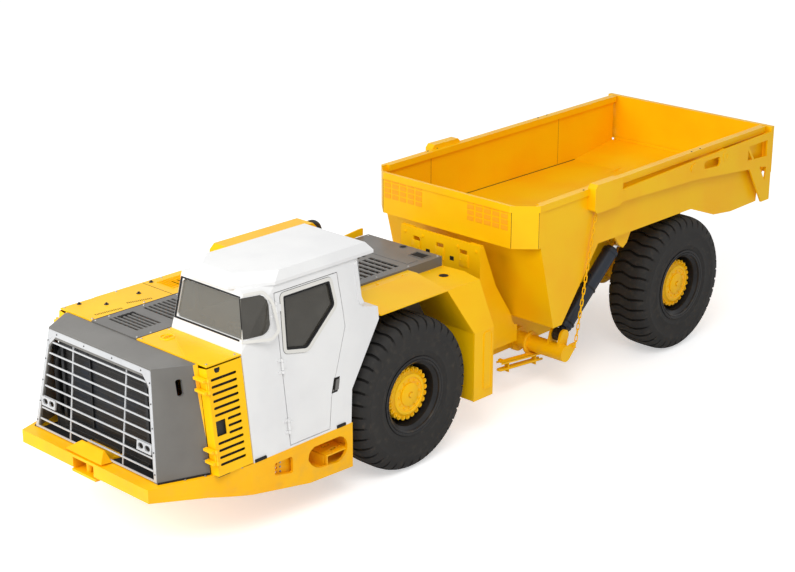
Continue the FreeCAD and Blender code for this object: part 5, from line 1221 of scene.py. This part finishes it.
# %% Cab windows
DOOR_WINDOW = [(3.068, 1.690), (3.043, 2.165), (2.483, 2.165), (2.448, 1.940), (2.828, 1.640)]
CORNER = [at(3.588, 1.041, 1.79), at(3.448, 0.895, 2.27), at(3.148, 0.9815, 2.27)]
CORNER_NORMAL = -(CORNER[1] - CORNER[0]).cross(CORNER[2] - CORNER[0]).normalized()
CORNER_WALL = side_place(CORNER[0], CORNER_NORMAL)
QUARTER_WINDOW = [(3.535, 1.90), (3.462, 2.235), (3.258, 2.235), (3.208, 2.150), (3.218, 1.930),
                  (3.288, 1.880)]
SCREEN_NORMAL = Vector((0.42, 0, 0.115)).normalized()
SCREEN = front_place((3.558, 0, 1.88), SCREEN_NORMAL)


@piece("frame", "cab_door")
def door_window_frame(mesh):
    """Pale frame round the door's window."""
    cut_plate(mesh, grown(DOOR_WINDOW, 0.040), lifted(SIDE_WALL, -0.001), 0.010, 0.045, 0.034)


@piece("rubber", "cab_door")
def door_gasket(mesh):
    """Black rubber between the door's frame and its pane, and a thin dark ring of painted shade at the
    frame's outer foot.
    """
    cut_plate(mesh, grown(DOOR_WINDOW, 0.008), lifted(SIDE_WALL, -0.008), 0.013, 0.030, 0.022)
    # Painted shade: a thin dark ring along the outer edge of the frame.
    cut_plate(mesh, grown(DOOR_WINDOW, 0.043), lifted(SIDE_WALL, -0.001), 0.0035, 0.048, 0.004)


@piece("frame")
def quarter_frame(mesh):
    """Pale frame round the quarter pane, open at the glass corner."""
    cut_plate(mesh, grown(QUARTER_WINDOW, 0.034), lifted(CORNER_WALL, -0.001), 0.008, 0.030, 0.026)
    front = mesh.verts[:]
    cutter = CORNER_WALL @ at(3.50, 2.06, 0)
    bmesh.ops.bisect_plane(mesh, geom=front + mesh.edges[:] + mesh.faces[:], plane_co=cutter,
                           plane_no=(CORNER_WALL.to_3x3() @ at(1.0, 0.218, 0)), clear_outer=True)
    bmesh.ops.holes_fill(mesh, edges=[edge for edge in mesh.edges if edge.is_boundary])


@piece("rubber", smooth=True)
def glass_seals(mesh):
    """Thin dark seals along the glass corner, the posts and the sill."""
    foot, head = CORNER_WALL @ at(3.545, 1.882, -0.010), CORNER_WALL @ at(3.463, 2.243, -0.010)
    rod(mesh, foot, head, 0.0045, sides=10)
    cut_plate(mesh, oblong(0.106, 0.131, 1.895, 2.238), lifted(SCREEN, 0.0), 0.004)
    cut_plate(mesh, oblong(0.106, 0.985, 1.882, 1.899), lifted(SCREEN, -0.001), 0.004)
    cut_plate(mesh, oblong(0.106, 0.90, 2.236, 2.250), lifted(SCREEN, -0.001), 0.003)


print("window frames made, corner normal", [round(value, 3) for value in CORNER_NORMAL])

# %% [markdown]
# ## Door latch, seams and pillar cover
# The door closes on a black seal, so its outline reads as a thin dark line. Its handle lies in
# a slanted recess with a dark plate. A moulded cover runs up the rear pillar, and a rubber lip
# goes round under the roof cap.

# %% Door latch, seams and pillar cover
@piece("gap", "cab_door")
def latch_plate(mesh):
    """Dark plate in the door's recess."""
    cup = [(2.511, 1.133), (2.584, 1.133), (2.537, 1.267), (2.463, 1.267)]
    cut_plate(mesh, cup, lifted(SIDE_WALL, -0.006), 0.0065, 0.006)


@piece("grey", "cab_door", smooth=True)
def latch_bar(mesh):
    """Grey pull handle over the plate."""
    grip = [(2.498, 1.150), (2.545, 1.150), (2.515, 1.246), (2.470, 1.246)]
    cut_plate(mesh, grip, lifted(SIDE_WALL, -0.002), 0.006, 0.004)
    rod(mesh, SIDE_WALL @ at(2.562, 1.155, -0.002), SIDE_WALL @ at(2.562, 1.155, 0.005), 0.009, sides=16)


@piece("rubber", smooth=True)
def door_seal(mesh):
    """Black seal that shows in the gap round the door."""
    lines = [((3.1455, 0.822), (3.1455, 2.222)), ((3.1455, 2.2215), (2.374, 2.2215)),
             ((2.3705, 2.221), (2.341, 1.850)), ((2.3405, 1.850), (2.336, 1.700)),
             ((2.336, 1.700), (2.590, 1.100)), ((2.590, 1.100), (2.650, 0.822))]
    for start, end in lines:
        rod(mesh, SIDE_WALL @ at(*start, -0.012), SIDE_WALL @ at(*end, -0.012), 0.0042, sides=6)


@piece("white", smooth=True)
def pillar_cover(mesh):
    """Moulded cover of the rear pillar."""
    outline = [(2.075, 1.86), (2.135, 1.86), (2.150, 1.93), (2.150, 2.24), (2.120, 2.275), (2.105, 2.275),
               (2.105, 1.93)]
    cut_plate(mesh, outline, lifted(SIDE_WALL, -0.001), 0.014, 0.012)


@piece("rubber")
def roof_lip(mesh):
    """Rubber lip between the cab and its roof cap."""
    line = [(3.40, 0.30), (3.40, 0.80), (3.11, 0.975), (2.12, 0.975), (2.12, 0.12), (3.22, 0.12)]
    cut_plate(mesh, line, flat_place(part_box("cab_roof")[0][2] - 0.002), 0.004, rim=0.02)


@piece("white", smooth=True)
def roof_bolts(mesh):
    """Bolts of the roof cap."""
    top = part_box("cab_roof")[1][2]
    for x, y in ((3.28, 0.42), (3.28, 0.64), (2.10, 0.22), (2.10, 0.87)):
        rod(mesh, (x, y, top - 0.004), (x, y, top - 0.0005), 0.016, 0.013, 12)


print("cab trim made")

# %% [markdown]
# ## Driver's place
# Inside stand a steering wheel with a padded rim, a small screen, switches and two levers. The
# wheel's rim is a spun ring on the frame's own column, and its spokes are rods turned a third
# of a circle each.

# %% Driver's place
@piece("black_plastic", smooth=True)
def steering_rim(mesh):
    """Padded rim and hub of the steering wheel."""
    tip, base = at(3.168, 0.60, 1.72), at(3.388, 0.60, 1.60)
    axis = (tip - base).normalized()
    circle = [(0.171 + 0.021 * math.cos(TURN * k / 10), 0.021 * math.sin(TURN * k / 10)) for k in range(10)]
    lathe(mesh, circle, tip, axis, 48)
    lathe(mesh, [(0.002, 0.03), (0.038, 0.03), (0.046, 0.02), (0.046, 0.0), (0.002, 0.0)], tip, axis, 28)
    for turn in (0, 1, 2):
        side = Matrix.Rotation(TURN * turn / 3, 3, axis) @ at(0, 1, 0)
        rod(mesh, tip + side * 0.03 + axis * 0.008, tip + side * 0.17, 0.010, sides=10)


@piece("black", smooth=True)
def dash_details(mesh):
    """Screen, switch rows and two levers on the dashboard."""
    slab(mesh, (3.38, 0.28, 1.792), (3.40, 0.46, 1.90), 0.006)
    rod(mesh, (3.40, 0.37, 1.77), (3.40, 0.37, 1.80), 0.012, sides=12)
    for index in range(6):
        slab(mesh, (3.43, 0.50 + index * 0.045, 1.768), (3.455, 0.53 + index * 0.045, 1.786), 0.003)
    for y in (0.22, 0.26):
        rod(mesh, (3.30, y, 1.60), (3.27, y, 1.76), 0.007, sides=10)
        rod(mesh, (3.272, y, 1.745), (3.262, y, 1.80), 0.014, 0.017, 14)


print("controls made")

# %% [markdown]
# ## Seat
# The seat has two cushions on a moulded shell. Each cushion starts as a slab a little too
# small, is remeshed to even squares, and is blown up by a cloth simulation so that its sides
# bulge and its corners pull in. The sewn channels are pressed in afterwards, because remeshing
# would smooth them away.

# %% Seat cushions
PAD_EDGE, PAD_SQUARE = 0.022, 0.0075
PAD_PRESSURE, PAD_REACH = 4.0, 0.010
CLOTH_STEPS = 20
CHANNELS, CHANNEL_DEPTH = 5, 0.010


def blown(thing, pressure, reach):
    """Inflates a remeshed pad as cloth, with a cap on how far a point may move."""
    rest = [vert.co.copy() for vert in thing.data.vertices]
    cloth = thing.modifiers.new("cloth", "CLOTH")
    cloth.settings.use_pressure = True
    cloth.settings.uniform_pressure_force = pressure
    cloth.settings.effector_weights.gravity = 0
    scene = bpy.context.scene
    for step in range(1, CLOTH_STEPS + 1):
        scene.frame_set(step)
    graph = bpy.context.evaluated_depsgraph_get()
    moved = [vert.co.copy() for vert in thing.evaluated_get(graph).data.vertices]
    thing.modifiers.remove(cloth)
    scene.frame_set(1)
    for vert, start, end in zip(thing.data.vertices, rest, moved):
        shift = end - start
        vert.co = start + shift * min(1.0, reach / max(shift.length, 1e-6))


def channels(thing, low, high, axis_name, up, depth):
    """Presses sewn channels across the upper side of a pad."""
    for vert in thing.data.vertices:
        along = getattr(vert.co, axis_name)
        share = (along - low) / (high - low)
        if 0.08 < share < 0.92 and vert.normal.dot(up) > 0.35:
            wave = abs(math.sin(math.pi * share * CHANNELS))
            vert.co -= up * depth * (1 - wave) ** 4


def cushion(name, low, high, turn, axis_name, up):
    """One padded cushion of the seat."""
    mesh = bmesh.new()
    slab(mesh, low, high, PAD_EDGE, turn)
    pad = finished(name, mesh, "seat", "front_unit")
    remesh = pad.modifiers.new("even", "REMESH")
    remesh.mode = "VOXEL"
    remesh.voxel_size = PAD_SQUARE
    graph = bpy.context.evaluated_depsgraph_get()
    even = bpy.data.meshes.new_from_object(pad.evaluated_get(graph))
    pad.modifiers.remove(remesh)
    pad.data = even
    blown(pad, PAD_PRESSURE, PAD_REACH)
    axis = "xyz".index(axis_name)
    channels(pad, low[axis], high[axis], axis_name, up, CHANNEL_DEPTH)
    pad.data.shade_smooth()
    pad.data.materials.clear()
    pad.data.materials.append(FINISHES["seat"])
    return pad


pan = cushion("seat_pan_cushion", (2.440, 0.375, 1.200), (2.905, 0.825, 1.275), Matrix(), "x", at(0, 0, 1))
lean = (Matrix.Translation((2.45, 0, 1.30)) @ Matrix.Rotation(math.radians(-7.5), 4, "Y")
        @ Matrix.Translation((-2.45, 0, -1.30)))
back = cushion("seat_back_cushion", (2.420, 0.385, 1.315), (2.485, 0.815, 1.865), lean, "z", at(1, 0, 0.1))
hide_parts("driver_seat")
print("cushions:", len(pan.data.polygons), len(back.data.polygons), "faces")


# %% Seat shell
@piece("black_plastic", smooth=True)
def seat_shell(mesh):
    """Moulded shell under and behind the cushions, with its arm rest."""
    slab(mesh, (2.400, 0.365, 1.181), (2.925, 0.835, 1.203), 0.008)
    slab(mesh, (2.392, 0.375, 1.285), (2.416, 0.825, 1.875), 0.010, lean)
    slab(mesh, (2.42, 0.245, 1.42), (2.74, 0.305, 1.45), 0.012)
    rod(mesh, (2.45, 0.275, 1.30), (2.45, 0.275, 1.44), 0.015, sides=12)
    slab(mesh, (2.40, 0.265, 1.24), (2.50, 0.40, 1.27), 0.010)


print("seat made")

# %% [markdown]
# ## Fenders
# The fenders are folded sheet. The left one has a round filler opening with a dark inside. The
# mudguard's outer wall has one tall pressed panel, and an inner sheet faces the wheel. Behind
# the cab the grey cover has a hatch and an oval inspection hole. The dark insides of the openings
# are painted shade. Flat shapes are cut plates that stand a few millimetres off the sheet.

# %% Fenders
FENDER_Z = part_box("left_fender")[1][2] - 0.08
GUARD_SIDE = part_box("left_fender")[1][1]
FILLER = (0.649, 0.736)
PEEP_HOLE = (0.49, 0.03)


@piece("yellow")
def fender_pressings(mesh):
    """Pressed ring round the filler, and the guard's tall pressed panel."""
    for side in SIDES:
        if side > 0:
            cut_plate(mesh, oval(FILLER, 0.062, 0.062), flat_place(FENDER_Z - 0.001), 0.006, rim=0.014)
        panel = oblong(0.405, 0.530, 0.55, 1.165)
        wall = side_place((0, side * (GUARD_SIDE - 0.001), 0), (0, side, 0))
        cut_plate(mesh, panel, wall, 0.011, 0.03, 0.012)
        cut_plate(mesh, grown(panel, -0.012), wall, 0.006, 0.02)
        slab(mesh, (0.90, side * 0.62 - 0.02, FENDER_Z + 0.02),
             (0.936, side * 0.62 + 0.02, FENDER_Z + 0.034), 0.002)


@piece("gap")
def fender_openings(mesh):
    """Dark plates of painted shade in the filler opening, hatch and inspection holes, and in the vent slits.
    """
    # Painted shade: flat dark plates stand for the shadowed insides of the openings.
    cut_plate(mesh, oval(FILLER, 0.049, 0.049), flat_place(FENDER_Z - 0.001), 0.0018)
    cut_plate(mesh, oval(PEEP_HOLE, 0.036, 0.028), HOOD_TOP, 0.0018)
    cut_plate(mesh, oblong(0.52, 0.625, 0.26, 0.42), HOOD_TOP, 0.0018, 0.01)
    for side in SIDES:
        for y in (0.655, 0.705):
            slab(mesh, (0.905, side * y - 0.003, FENDER_Z + 0.03), (0.92, side * y + 0.003, FENDER_Z + 0.045))


@piece("yellow")
def splash_panels(mesh):
    """Inner sheets of the mudguards that face the front wheels."""
    upper = front_place((0.666, 0, 1.190), Vector((0.482, 0, -0.265)))
    lower = front_place((0.666, 0, 0), (1, 0, 0))
    for side in SIDES:
        cut_plate(mesh, [(side * 0.520, 1.190), (side * 1.159, 1.190), (side * 1.050, 1.672),
                         (side * 0.520, 1.672)], upper, 0.004)
        cut_plate(mesh, oblong(side * 0.520, side * 1.1595, 0.464, 1.192), lower, 0.004)


@piece("grey")
def rear_cover_plates(mesh):
    """Raised hatch rim and ribs on the grey rear cover."""
    cut_plate(mesh, oblong(0.50, 0.645, 0.24, 0.44), HOOD_TOP, 0.006, 0.012, 0.012)
    cut_plate(mesh, oval(PEEP_HOLE, 0.046, 0.038), HOOD_TOP, 0.005, rim=0.009)
    cut_plate(mesh, oblong(0.70, 0.86, -0.44, 0.44), HOOD_TOP, 0.004, 0.012)


@piece("yellow", smooth=True)
def fender_bolts(mesh):
    """Bolts along the fender folds and the brackets at the cab's foot."""
    for side in SIDES:
        for x in (0.46, 0.66, 0.86):
            bolt(mesh, (x, side * 0.55, FENDER_Z), (0, 0, 1), 0.009, 0.009)
        for x, y in ((1.10, 0.60), (1.45, 0.60), (1.80, 0.60)):
            bolt(mesh, (x, side * y, FENDER_Z + 0.079), (0, 0, 1), 0.009, 0.009)


@piece("yellow")
def far_side_strip(mesh):
    """Sloped yellow strip on the far side of the rear cover."""
    line = [(0.50, HOOD_Z - 0.002), (1.16, HOOD_Z - 0.002), (1.16, HOOD_Z + 0.012), (0.56, HOOD_Z + 0.075),
            (0.50, HOOD_Z + 0.075)]
    cut_plate(mesh, line, side_place((0, -0.535, 0), (0, -1, 0)), 0.016, 0.006)


print("fender details made")

# %% [markdown]
# ## Side steps and tower
# Low on each side of the rear unit hangs a step: a narrow tread and a bent round bar below it, on
# two brackets. The tread is a thin slab that slopes backwards with raised buttons, and the bar is
# one smooth curve. The tower plate ahead of the box has blank plates and bolts.

# %% Side steps and tower
TOWER_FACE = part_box("rear_frame")[1][0]
STEP_Y = 0.66


def step_tread(side):
    """Sloped tread with buttons and its two brackets."""
    mesh = bmesh.new()
    start, end = at(-0.32, side * STEP_Y, 0.455), at(-1.02, side * STEP_Y, 0.382)
    run = (end - start).normalized()
    turn = Matrix.Translation(start) @ Matrix.Rotation(math.atan2(run.z, -run.x), 4, "Y")
    length = (end - start).length
    slab(mesh, (-length, -0.038, -0.006), (0, 0.038, 0.002), 0.002, turn)
    for edge in (-0.038, 0.034):
        slab(mesh, (-length, edge, -0.024), (0, edge + 0.004, 0.002), 0.001, turn)
    for index in range(12):
        for y in (-0.02, 0.012):
            foot = turn @ at(-0.04 - index * 0.055, y, 0.001)
            rod(mesh, foot, foot + at(0, 0, 0.005), 0.009, 0.006, 8)
    for x, z in ((-0.45, 0.44), (-0.90, 0.395)):
        slab(mesh, (x - 0.02, side * 0.55, z - 0.035), (x + 0.02, side * 0.64, z - 0.012), 0.002)
        slab(mesh, (x - 0.006, side * 0.63, z - 0.13), (x + 0.006, side * 0.69, z - 0.01), 0.002)
    return mesh


def step_bar(side):
    """Bent round bar under the tread."""
    mesh = bmesh.new()
    outer, inner = side * (STEP_Y + 0.025), side * (STEP_Y - 0.025)
    line = [(-1.01, outer, 0.30), (-0.70, outer, 0.330), (-0.40, outer, 0.358), (-0.31, outer, 0.367),
            (-0.31, inner, 0.367), (-0.40, inner, 0.358), (-0.70, inner, 0.330), (-1.01, inner, 0.30)]
    pipe(mesh, line, 0.013)
    return mesh


for side, name in HANDS:
    finished("side_step_" + name, step_tread(side), "yellow", "rear_unit")
    finished("side_bar_" + name, step_bar(side), "yellow", "rear_unit", smooth=True)


@piece("yellow", "rear_unit", smooth=True)
def tower_bolts(mesh):
    """Bolts and blank plates on the tower's front."""
    for y in (-0.50, -0.25, 0.25, 0.50):
        for z in (1.40, 1.70):
            bolt(mesh, (TOWER_FACE - 0.001, y, z), (1, 0, 0), 0.014, 0.012)
    for y in (-0.34, 0.0, 0.34):
        slab(mesh, (TOWER_FACE - 0.002, y - 0.06, 1.50), (TOWER_FACE + 0.010, y + 0.06, 1.64), 0.004)
        for shift in (-0.045, 0.045):
            bolt(mesh, (TOWER_FACE + 0.009, y + shift, 1.57), (1, 0, 0), 0.008, 0.008)


@piece("gap", "rear_unit")
def tower_ports(mesh):
    """Dark slabs of painted shade for the openings between the blank plates of the tower."""
    # Painted shade: dark slabs stand for the shadowed insides of the ports.
    for y in (-0.17, 0.17):
        slab(mesh, (TOWER_FACE - 0.004, y - 0.028, 1.53), (TOWER_FACE + 0.0012, y + 0.028, 1.575))


print("steps and tower made")

# %% [markdown]
# ## Cross tube and hoist feet
# The tube across the frame carries the feet of the tipping cylinders and the chain feet. Its
# ends have a bolted flange ring. The cylinders have gland rings and hose ports. Ring shapes are
# spun about the tube's or the cylinder's own axis.

# %% Cross tube and hoist feet
@piece("yellow", "rear_unit", smooth=True)
def tube_flanges(mesh):
    """Flange rings and bolts on the ends of the cross tube."""
    for side in SIDES:
        centre = at(-0.902, side * 0.60, 0.50)
        ring = [(0.086, 0.0), (0.128, 0.0), (0.128, 0.022), (0.120, 0.028), (0.086, 0.028)]
        lathe(mesh, [(radius, side * out) for radius, out in ring], centre, (0, 1, 0), 40)
        for index in range(10):
            spot = on_circle(centre, 0.108, side * 0.027, index, 10)
            bolt(mesh, spot, (0, side, 0), 0.008, 0.008)


def ram_axis(node):
    """Lower eye of a cylinder and the direction of its axis."""
    low, high = Vector(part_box(node)[0]), Vector(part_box(node)[1])
    y = (low.y + high.y) / 2
    foot = at(-0.952, y, 0.670)
    head = at(-1.922, y, 1.500)
    return foot, (head - foot).normalized()


def hoist_rings(name):
    """Gland ring, weld beads and hose port of one tipping cylinder."""
    mesh = bmesh.new()
    foot, axis = ram_axis("hoist_barrel_" + name)
    for distance, radius in ((0.16, 0.095), (0.62, 0.093)):
        ring = [(0.080, -0.008), (radius, -0.006), (radius, 0.006), (0.080, 0.008)]
        lathe(mesh, ring, foot + axis * distance, axis, 36)
    port = foot + axis * 0.24
    out = axis.cross(at(0, 1, 0)).normalized()
    out = out if out.z > 0 else -out
    rod(mesh, port + out * 0.07, port + out * 0.115, 0.018, sides=6)
    return mesh


for name in ("left", "right"):
    finished("hoist_rings_" + name, hoist_rings(name), "black", "hoist_barrel_" + name, smooth=True)
print("flanges and cylinder rings made")

# %% [markdown]
# ## Chains
# A round-link chain on each side runs from the frame up to the tailgate's arm. A link is a spun
# ring whose halves are drawn apart, and each is turned a quarter from the last. The links stay
# straight on one body, as the frame's own chain does, so nothing has to sag.

# %% Chains
CHAIN_LINKS = 24
CHAIN_WIRE = 0.0062
CHAIN_HALF_WIDE = 0.0135
CHAIN_Y = 1.131


def chain_link():
    """One link: a spun ring whose halves are drawn apart."""
    mesh = bmesh.new()
    circle = [(CHAIN_HALF_WIDE + CHAIN_WIRE * math.cos(TURN * k / 6), CHAIN_WIRE * math.sin(TURN * k / 6))
              for k in range(6)]
    lathe(mesh, circle, (0, 0, 0), (0, 0, 1), 12)
    return mesh


def chain(foot, head):
    """Run of links between two eyes, each turned a quarter from the last."""
    run = Vector(head) - Vector(foot)
    pitch = run.length / CHAIN_LINKS
    turn = run.to_track_quat("X", "Y").to_matrix().to_4x4()
    mesh = bmesh.new()
    for index in range(CHAIN_LINKS):
        link = chain_link()
        stretch = pitch / 2 - CHAIN_HALF_WIDE + CHAIN_WIRE
        for vert in link.verts:
            vert.co.x += math.copysign(stretch, vert.co.x)
        roll = Matrix.Rotation(math.radians(90 * (index % 2) + 20), 4, "X")
        place = Matrix.Translation(Vector(foot) + run * ((index + 0.5) / CHAIN_LINKS)) @ turn @ roll
        bmesh.ops.transform(link, matrix=place, verts=link.verts)
        merge(mesh, link)
    return mesh


for side, name in HANDS:
    y = side * CHAIN_Y
    made = finished("round_chain_" + name, chain((-1.002, y, 0.560), (-1.302, y, 2.085)), "yellow",
                 "gate_chain_" + name, smooth=True)
    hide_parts("gate_chain_" + name)
print("chains:", CHAIN_LINKS, "links each")

# %% [markdown]
# ## Dump box
# The box is welded plate. Its front apron carries two fields of small raised wear pads, its
# folded corners show dark weld seams, and pairs of bolts hold the rail. Inside, the wall plates
# overlap at a seam and the floor meets the belly in a weld line. Pads and seams are thin slabs
# laid on the walls, which keeps the plates of the frame whole.

# %% Dump box
RIM_Z = 2.26
APRON_Z = 1.808


@piece("pad", "dump_box")
def apron_pads(mesh):
    """Two fields of wear pads on the apron."""
    face = -0.180
    for start, low in ((-0.877, 1.985), (0.310, 1.990)):
        for column in range(5):
            for row in range(4):
                y = start + column * 0.114
                z = low + row * 0.061
                slab(mesh, (face - 0.002, y, z), (face + 0.005, y + 0.088, z + 0.047), 0.0025)


@piece("gap", "dump_box")
def box_seams(mesh):
    """Dark weld lines on the outside corners, the inside walls and the floor."""
    for side in SIDES:
        slab(mesh, (-0.182, side * 0.902 - 0.002, APRON_Z), (-0.1785, side * 0.902 + 0.002, 2.19))
        slab(mesh, (-0.372, side * 1.1075 - 0.0015, APRON_Z), (-0.368, side * 1.1075 + 0.0015, 2.19))
        slab(mesh, (-1.132, side * 1.0765 - 0.001, 1.66), (-1.127, side * 1.0765 + 0.001, 2.255))
        slab(mesh, (-3.40, side * 1.0765 - 0.001, 1.66), (-3.396, side * 1.0765 + 0.001, 2.27))
        slab(mesh, (-4.40, side * 1.069, 1.6435), (-1.36, side * 1.0775, 1.648))
    slab(mesh, (-1.385, -1.07, 1.642), (-1.379, 1.07, 1.6465))


@piece("black", "dump_box", smooth=True)
def rim_bolts(mesh):
    """Paired bolts on the rail."""
    for side in SIDES:
        for x in (-1.098, -1.251, -3.03, -3.194):
            z = RIM_Z + 0.056 * (-0.416 - x) / 4.07 - 0.004
            rod(mesh, (x, side * 1.098, z), (x, side * 1.098, z + 0.009), 0.010, 0.008, 10)


@piece("yellow", "dump_box", smooth=True)
def rail_fold(mesh):
    """Rounded lip along the outer edge of each rail and the front rim."""
    for side in SIDES:
        start, end = at(-0.47, side * 1.117, RIM_Z - 0.068), at(-4.47, side * 1.117, RIM_Z - 0.012)
        rod(mesh, start, end, 0.005, sides=8)
    rod(mesh, (-0.171, -0.90, RIM_Z - 0.069), (-0.171, 0.90, RIM_Z - 0.069), 0.005, sides=8)


@piece("yellow", "dump_box")
def gate_sill(mesh):
    """Sill plate of the floor that closes the joint under the tailgate."""
    slab(mesh, (-4.556, -1.07, 1.738), (-4.470, 1.07, 1.752), 0.003)
    slab(mesh, (-4.539, -1.085, 1.742), (-4.534, 1.085, 1.782), 0.001)
    slab(mesh, (-4.50, -1.07, 1.70), (-4.486, 1.07, 1.745), 0.003)


print("box details made")

# %% [markdown]
# ## Tailgate trim
# On each arm of the tailgate sit a hook plate and the pivot's cap with six bolts. They ride on
# the tailgate, so they turn with it. The cap is spun, because a rod would close its middle.

# %% Tailgate trim
PIVOT_X, PIVOT_Z = -3.602, 2.15


@piece("yellow", "tailgate", smooth=True)
def arm_hooks(mesh):
    """Half-round hook plates on the outside of the arms, with the pivot's cap bolts."""
    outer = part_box("tailgate")[1][1]
    for side in SIDES:
        wall = side_place((0, side * (outer - 0.001), 0), (0, side, 0))
        hook = [(-3.00, 2.09), (-2.93, 2.10), (-2.90, 2.14), (-2.93, 2.18), (-3.00, 2.19), (-3.03, 2.14)]
        cut_plate(mesh, hook, wall, 0.010, 0.012)
        for index in range(6):
            angle = TURN * index / 6
            spot = (PIVOT_X + 0.05 * math.cos(angle), side * outer, PIVOT_Z + 0.05 * math.sin(angle))
            bolt(mesh, spot, (0, side, 0), 0.007, 0.006)
        lathe(mesh, oblong(0.024, 0.066, -0.002, 0.004), (PIVOT_X, side * outer, PIVOT_Z), (0, side, 0), 28)


print("tailgate trim made")

# %% [markdown]
# ## Floor, light and size
# The floor is a pale sheet that the camera sees as white but that still holds the truck's
# shadow. A large soft lamp stands high on the driver's side, a weaker one fills the front, and
# the world gives an even studio light.

# %% Floor, light and size
FLOOR_SPAN = 60.0
FLOOR_GLOW = 0.5
WORLD_LIGHT = 0.58


def pale_floor():
    """A wide pale floor under the tyres."""
    mesh = bmesh.new()
    bmesh.ops.create_grid(mesh, x_segments=1, y_segments=1, size=FLOOR_SPAN)
    data = bpy.data.meshes.new("pale_floor")
    mesh.to_mesh(data)
    mesh.free()
    floor = shown("pale_floor", data)
    f = Finish("floor_white")
    seen = f.node("ShaderNodeLightPath", {}, {}, "Is Camera Ray")
    data.materials.append(f.done(Base_Color=srgb(244, 244, 244), Roughness=0.9, Emission_Strength=FLOOR_GLOW,
                                 Emission_Color=f.mix(seen, (0.0, 0.0, 0.0), (1.0, 1.0, 1.0))))
    return floor


def soft_lamp(name, place, target, power, size):
    """A square soft lamp aimed at a point."""
    data = bpy.data.lights.new(name, "AREA")
    data.energy = power
    data.size = size
    lamp = shown(name, data)
    lamp.matrix_world = Matrix.Translation(place) @ (Vector(target) - Vector(place)).to_track_quat(
        "-Z", "Y").to_matrix().to_4x4()


def studio_world():
    """Even light that the camera, gloss and glass see as white."""
    world = bpy.data.worlds.new("studio")
    world.use_nodes = True
    bpy.context.scene.world = world
    tree = world.node_tree
    tree.nodes.clear()
    path = tree.nodes.new("ShaderNodeLightPath")
    lit = tree.nodes.new("ShaderNodeBackground")
    lit.inputs["Strength"].default_value = WORLD_LIGHT
    seen = tree.nodes.new("ShaderNodeBackground")
    blend = tree.nodes.new("ShaderNodeMixShader")
    output = tree.nodes.new("ShaderNodeOutputWorld")
    for shade in (lit, seen):
        shade.inputs["Color"].default_value = (1.0, 1.0, 1.0, 1.0)
    either = path.outputs["Is Camera Ray"]
    for ray in ("Is Glossy Ray", "Is Transmission Ray"):
        larger = tree.nodes.new("ShaderNodeMath")
        larger.operation = "MAXIMUM"
        tree.links.new(either, larger.inputs[0])
        tree.links.new(path.outputs[ray], larger.inputs[1])
        either = larger.outputs[0]
    tree.links.new(either, blend.inputs[0])
    tree.links.new(lit.outputs[0], blend.inputs[1])
    tree.links.new(seen.outputs[0], blend.inputs[2])
    tree.links.new(blend.outputs[0], output.inputs[0])


pale_floor()
soft_lamp("key_lamp", (7.0, 7.0, 11.0), (0.0, 0.0, 1.0), 700.0, 6.0)
soft_lamp("front_fill", (12.0, -2.0, 6.0), (1.0, 0.0, 1.0), 700.0, 6.0)
studio_world()
bpy.context.scene.view_settings.view_transform = "Standard"
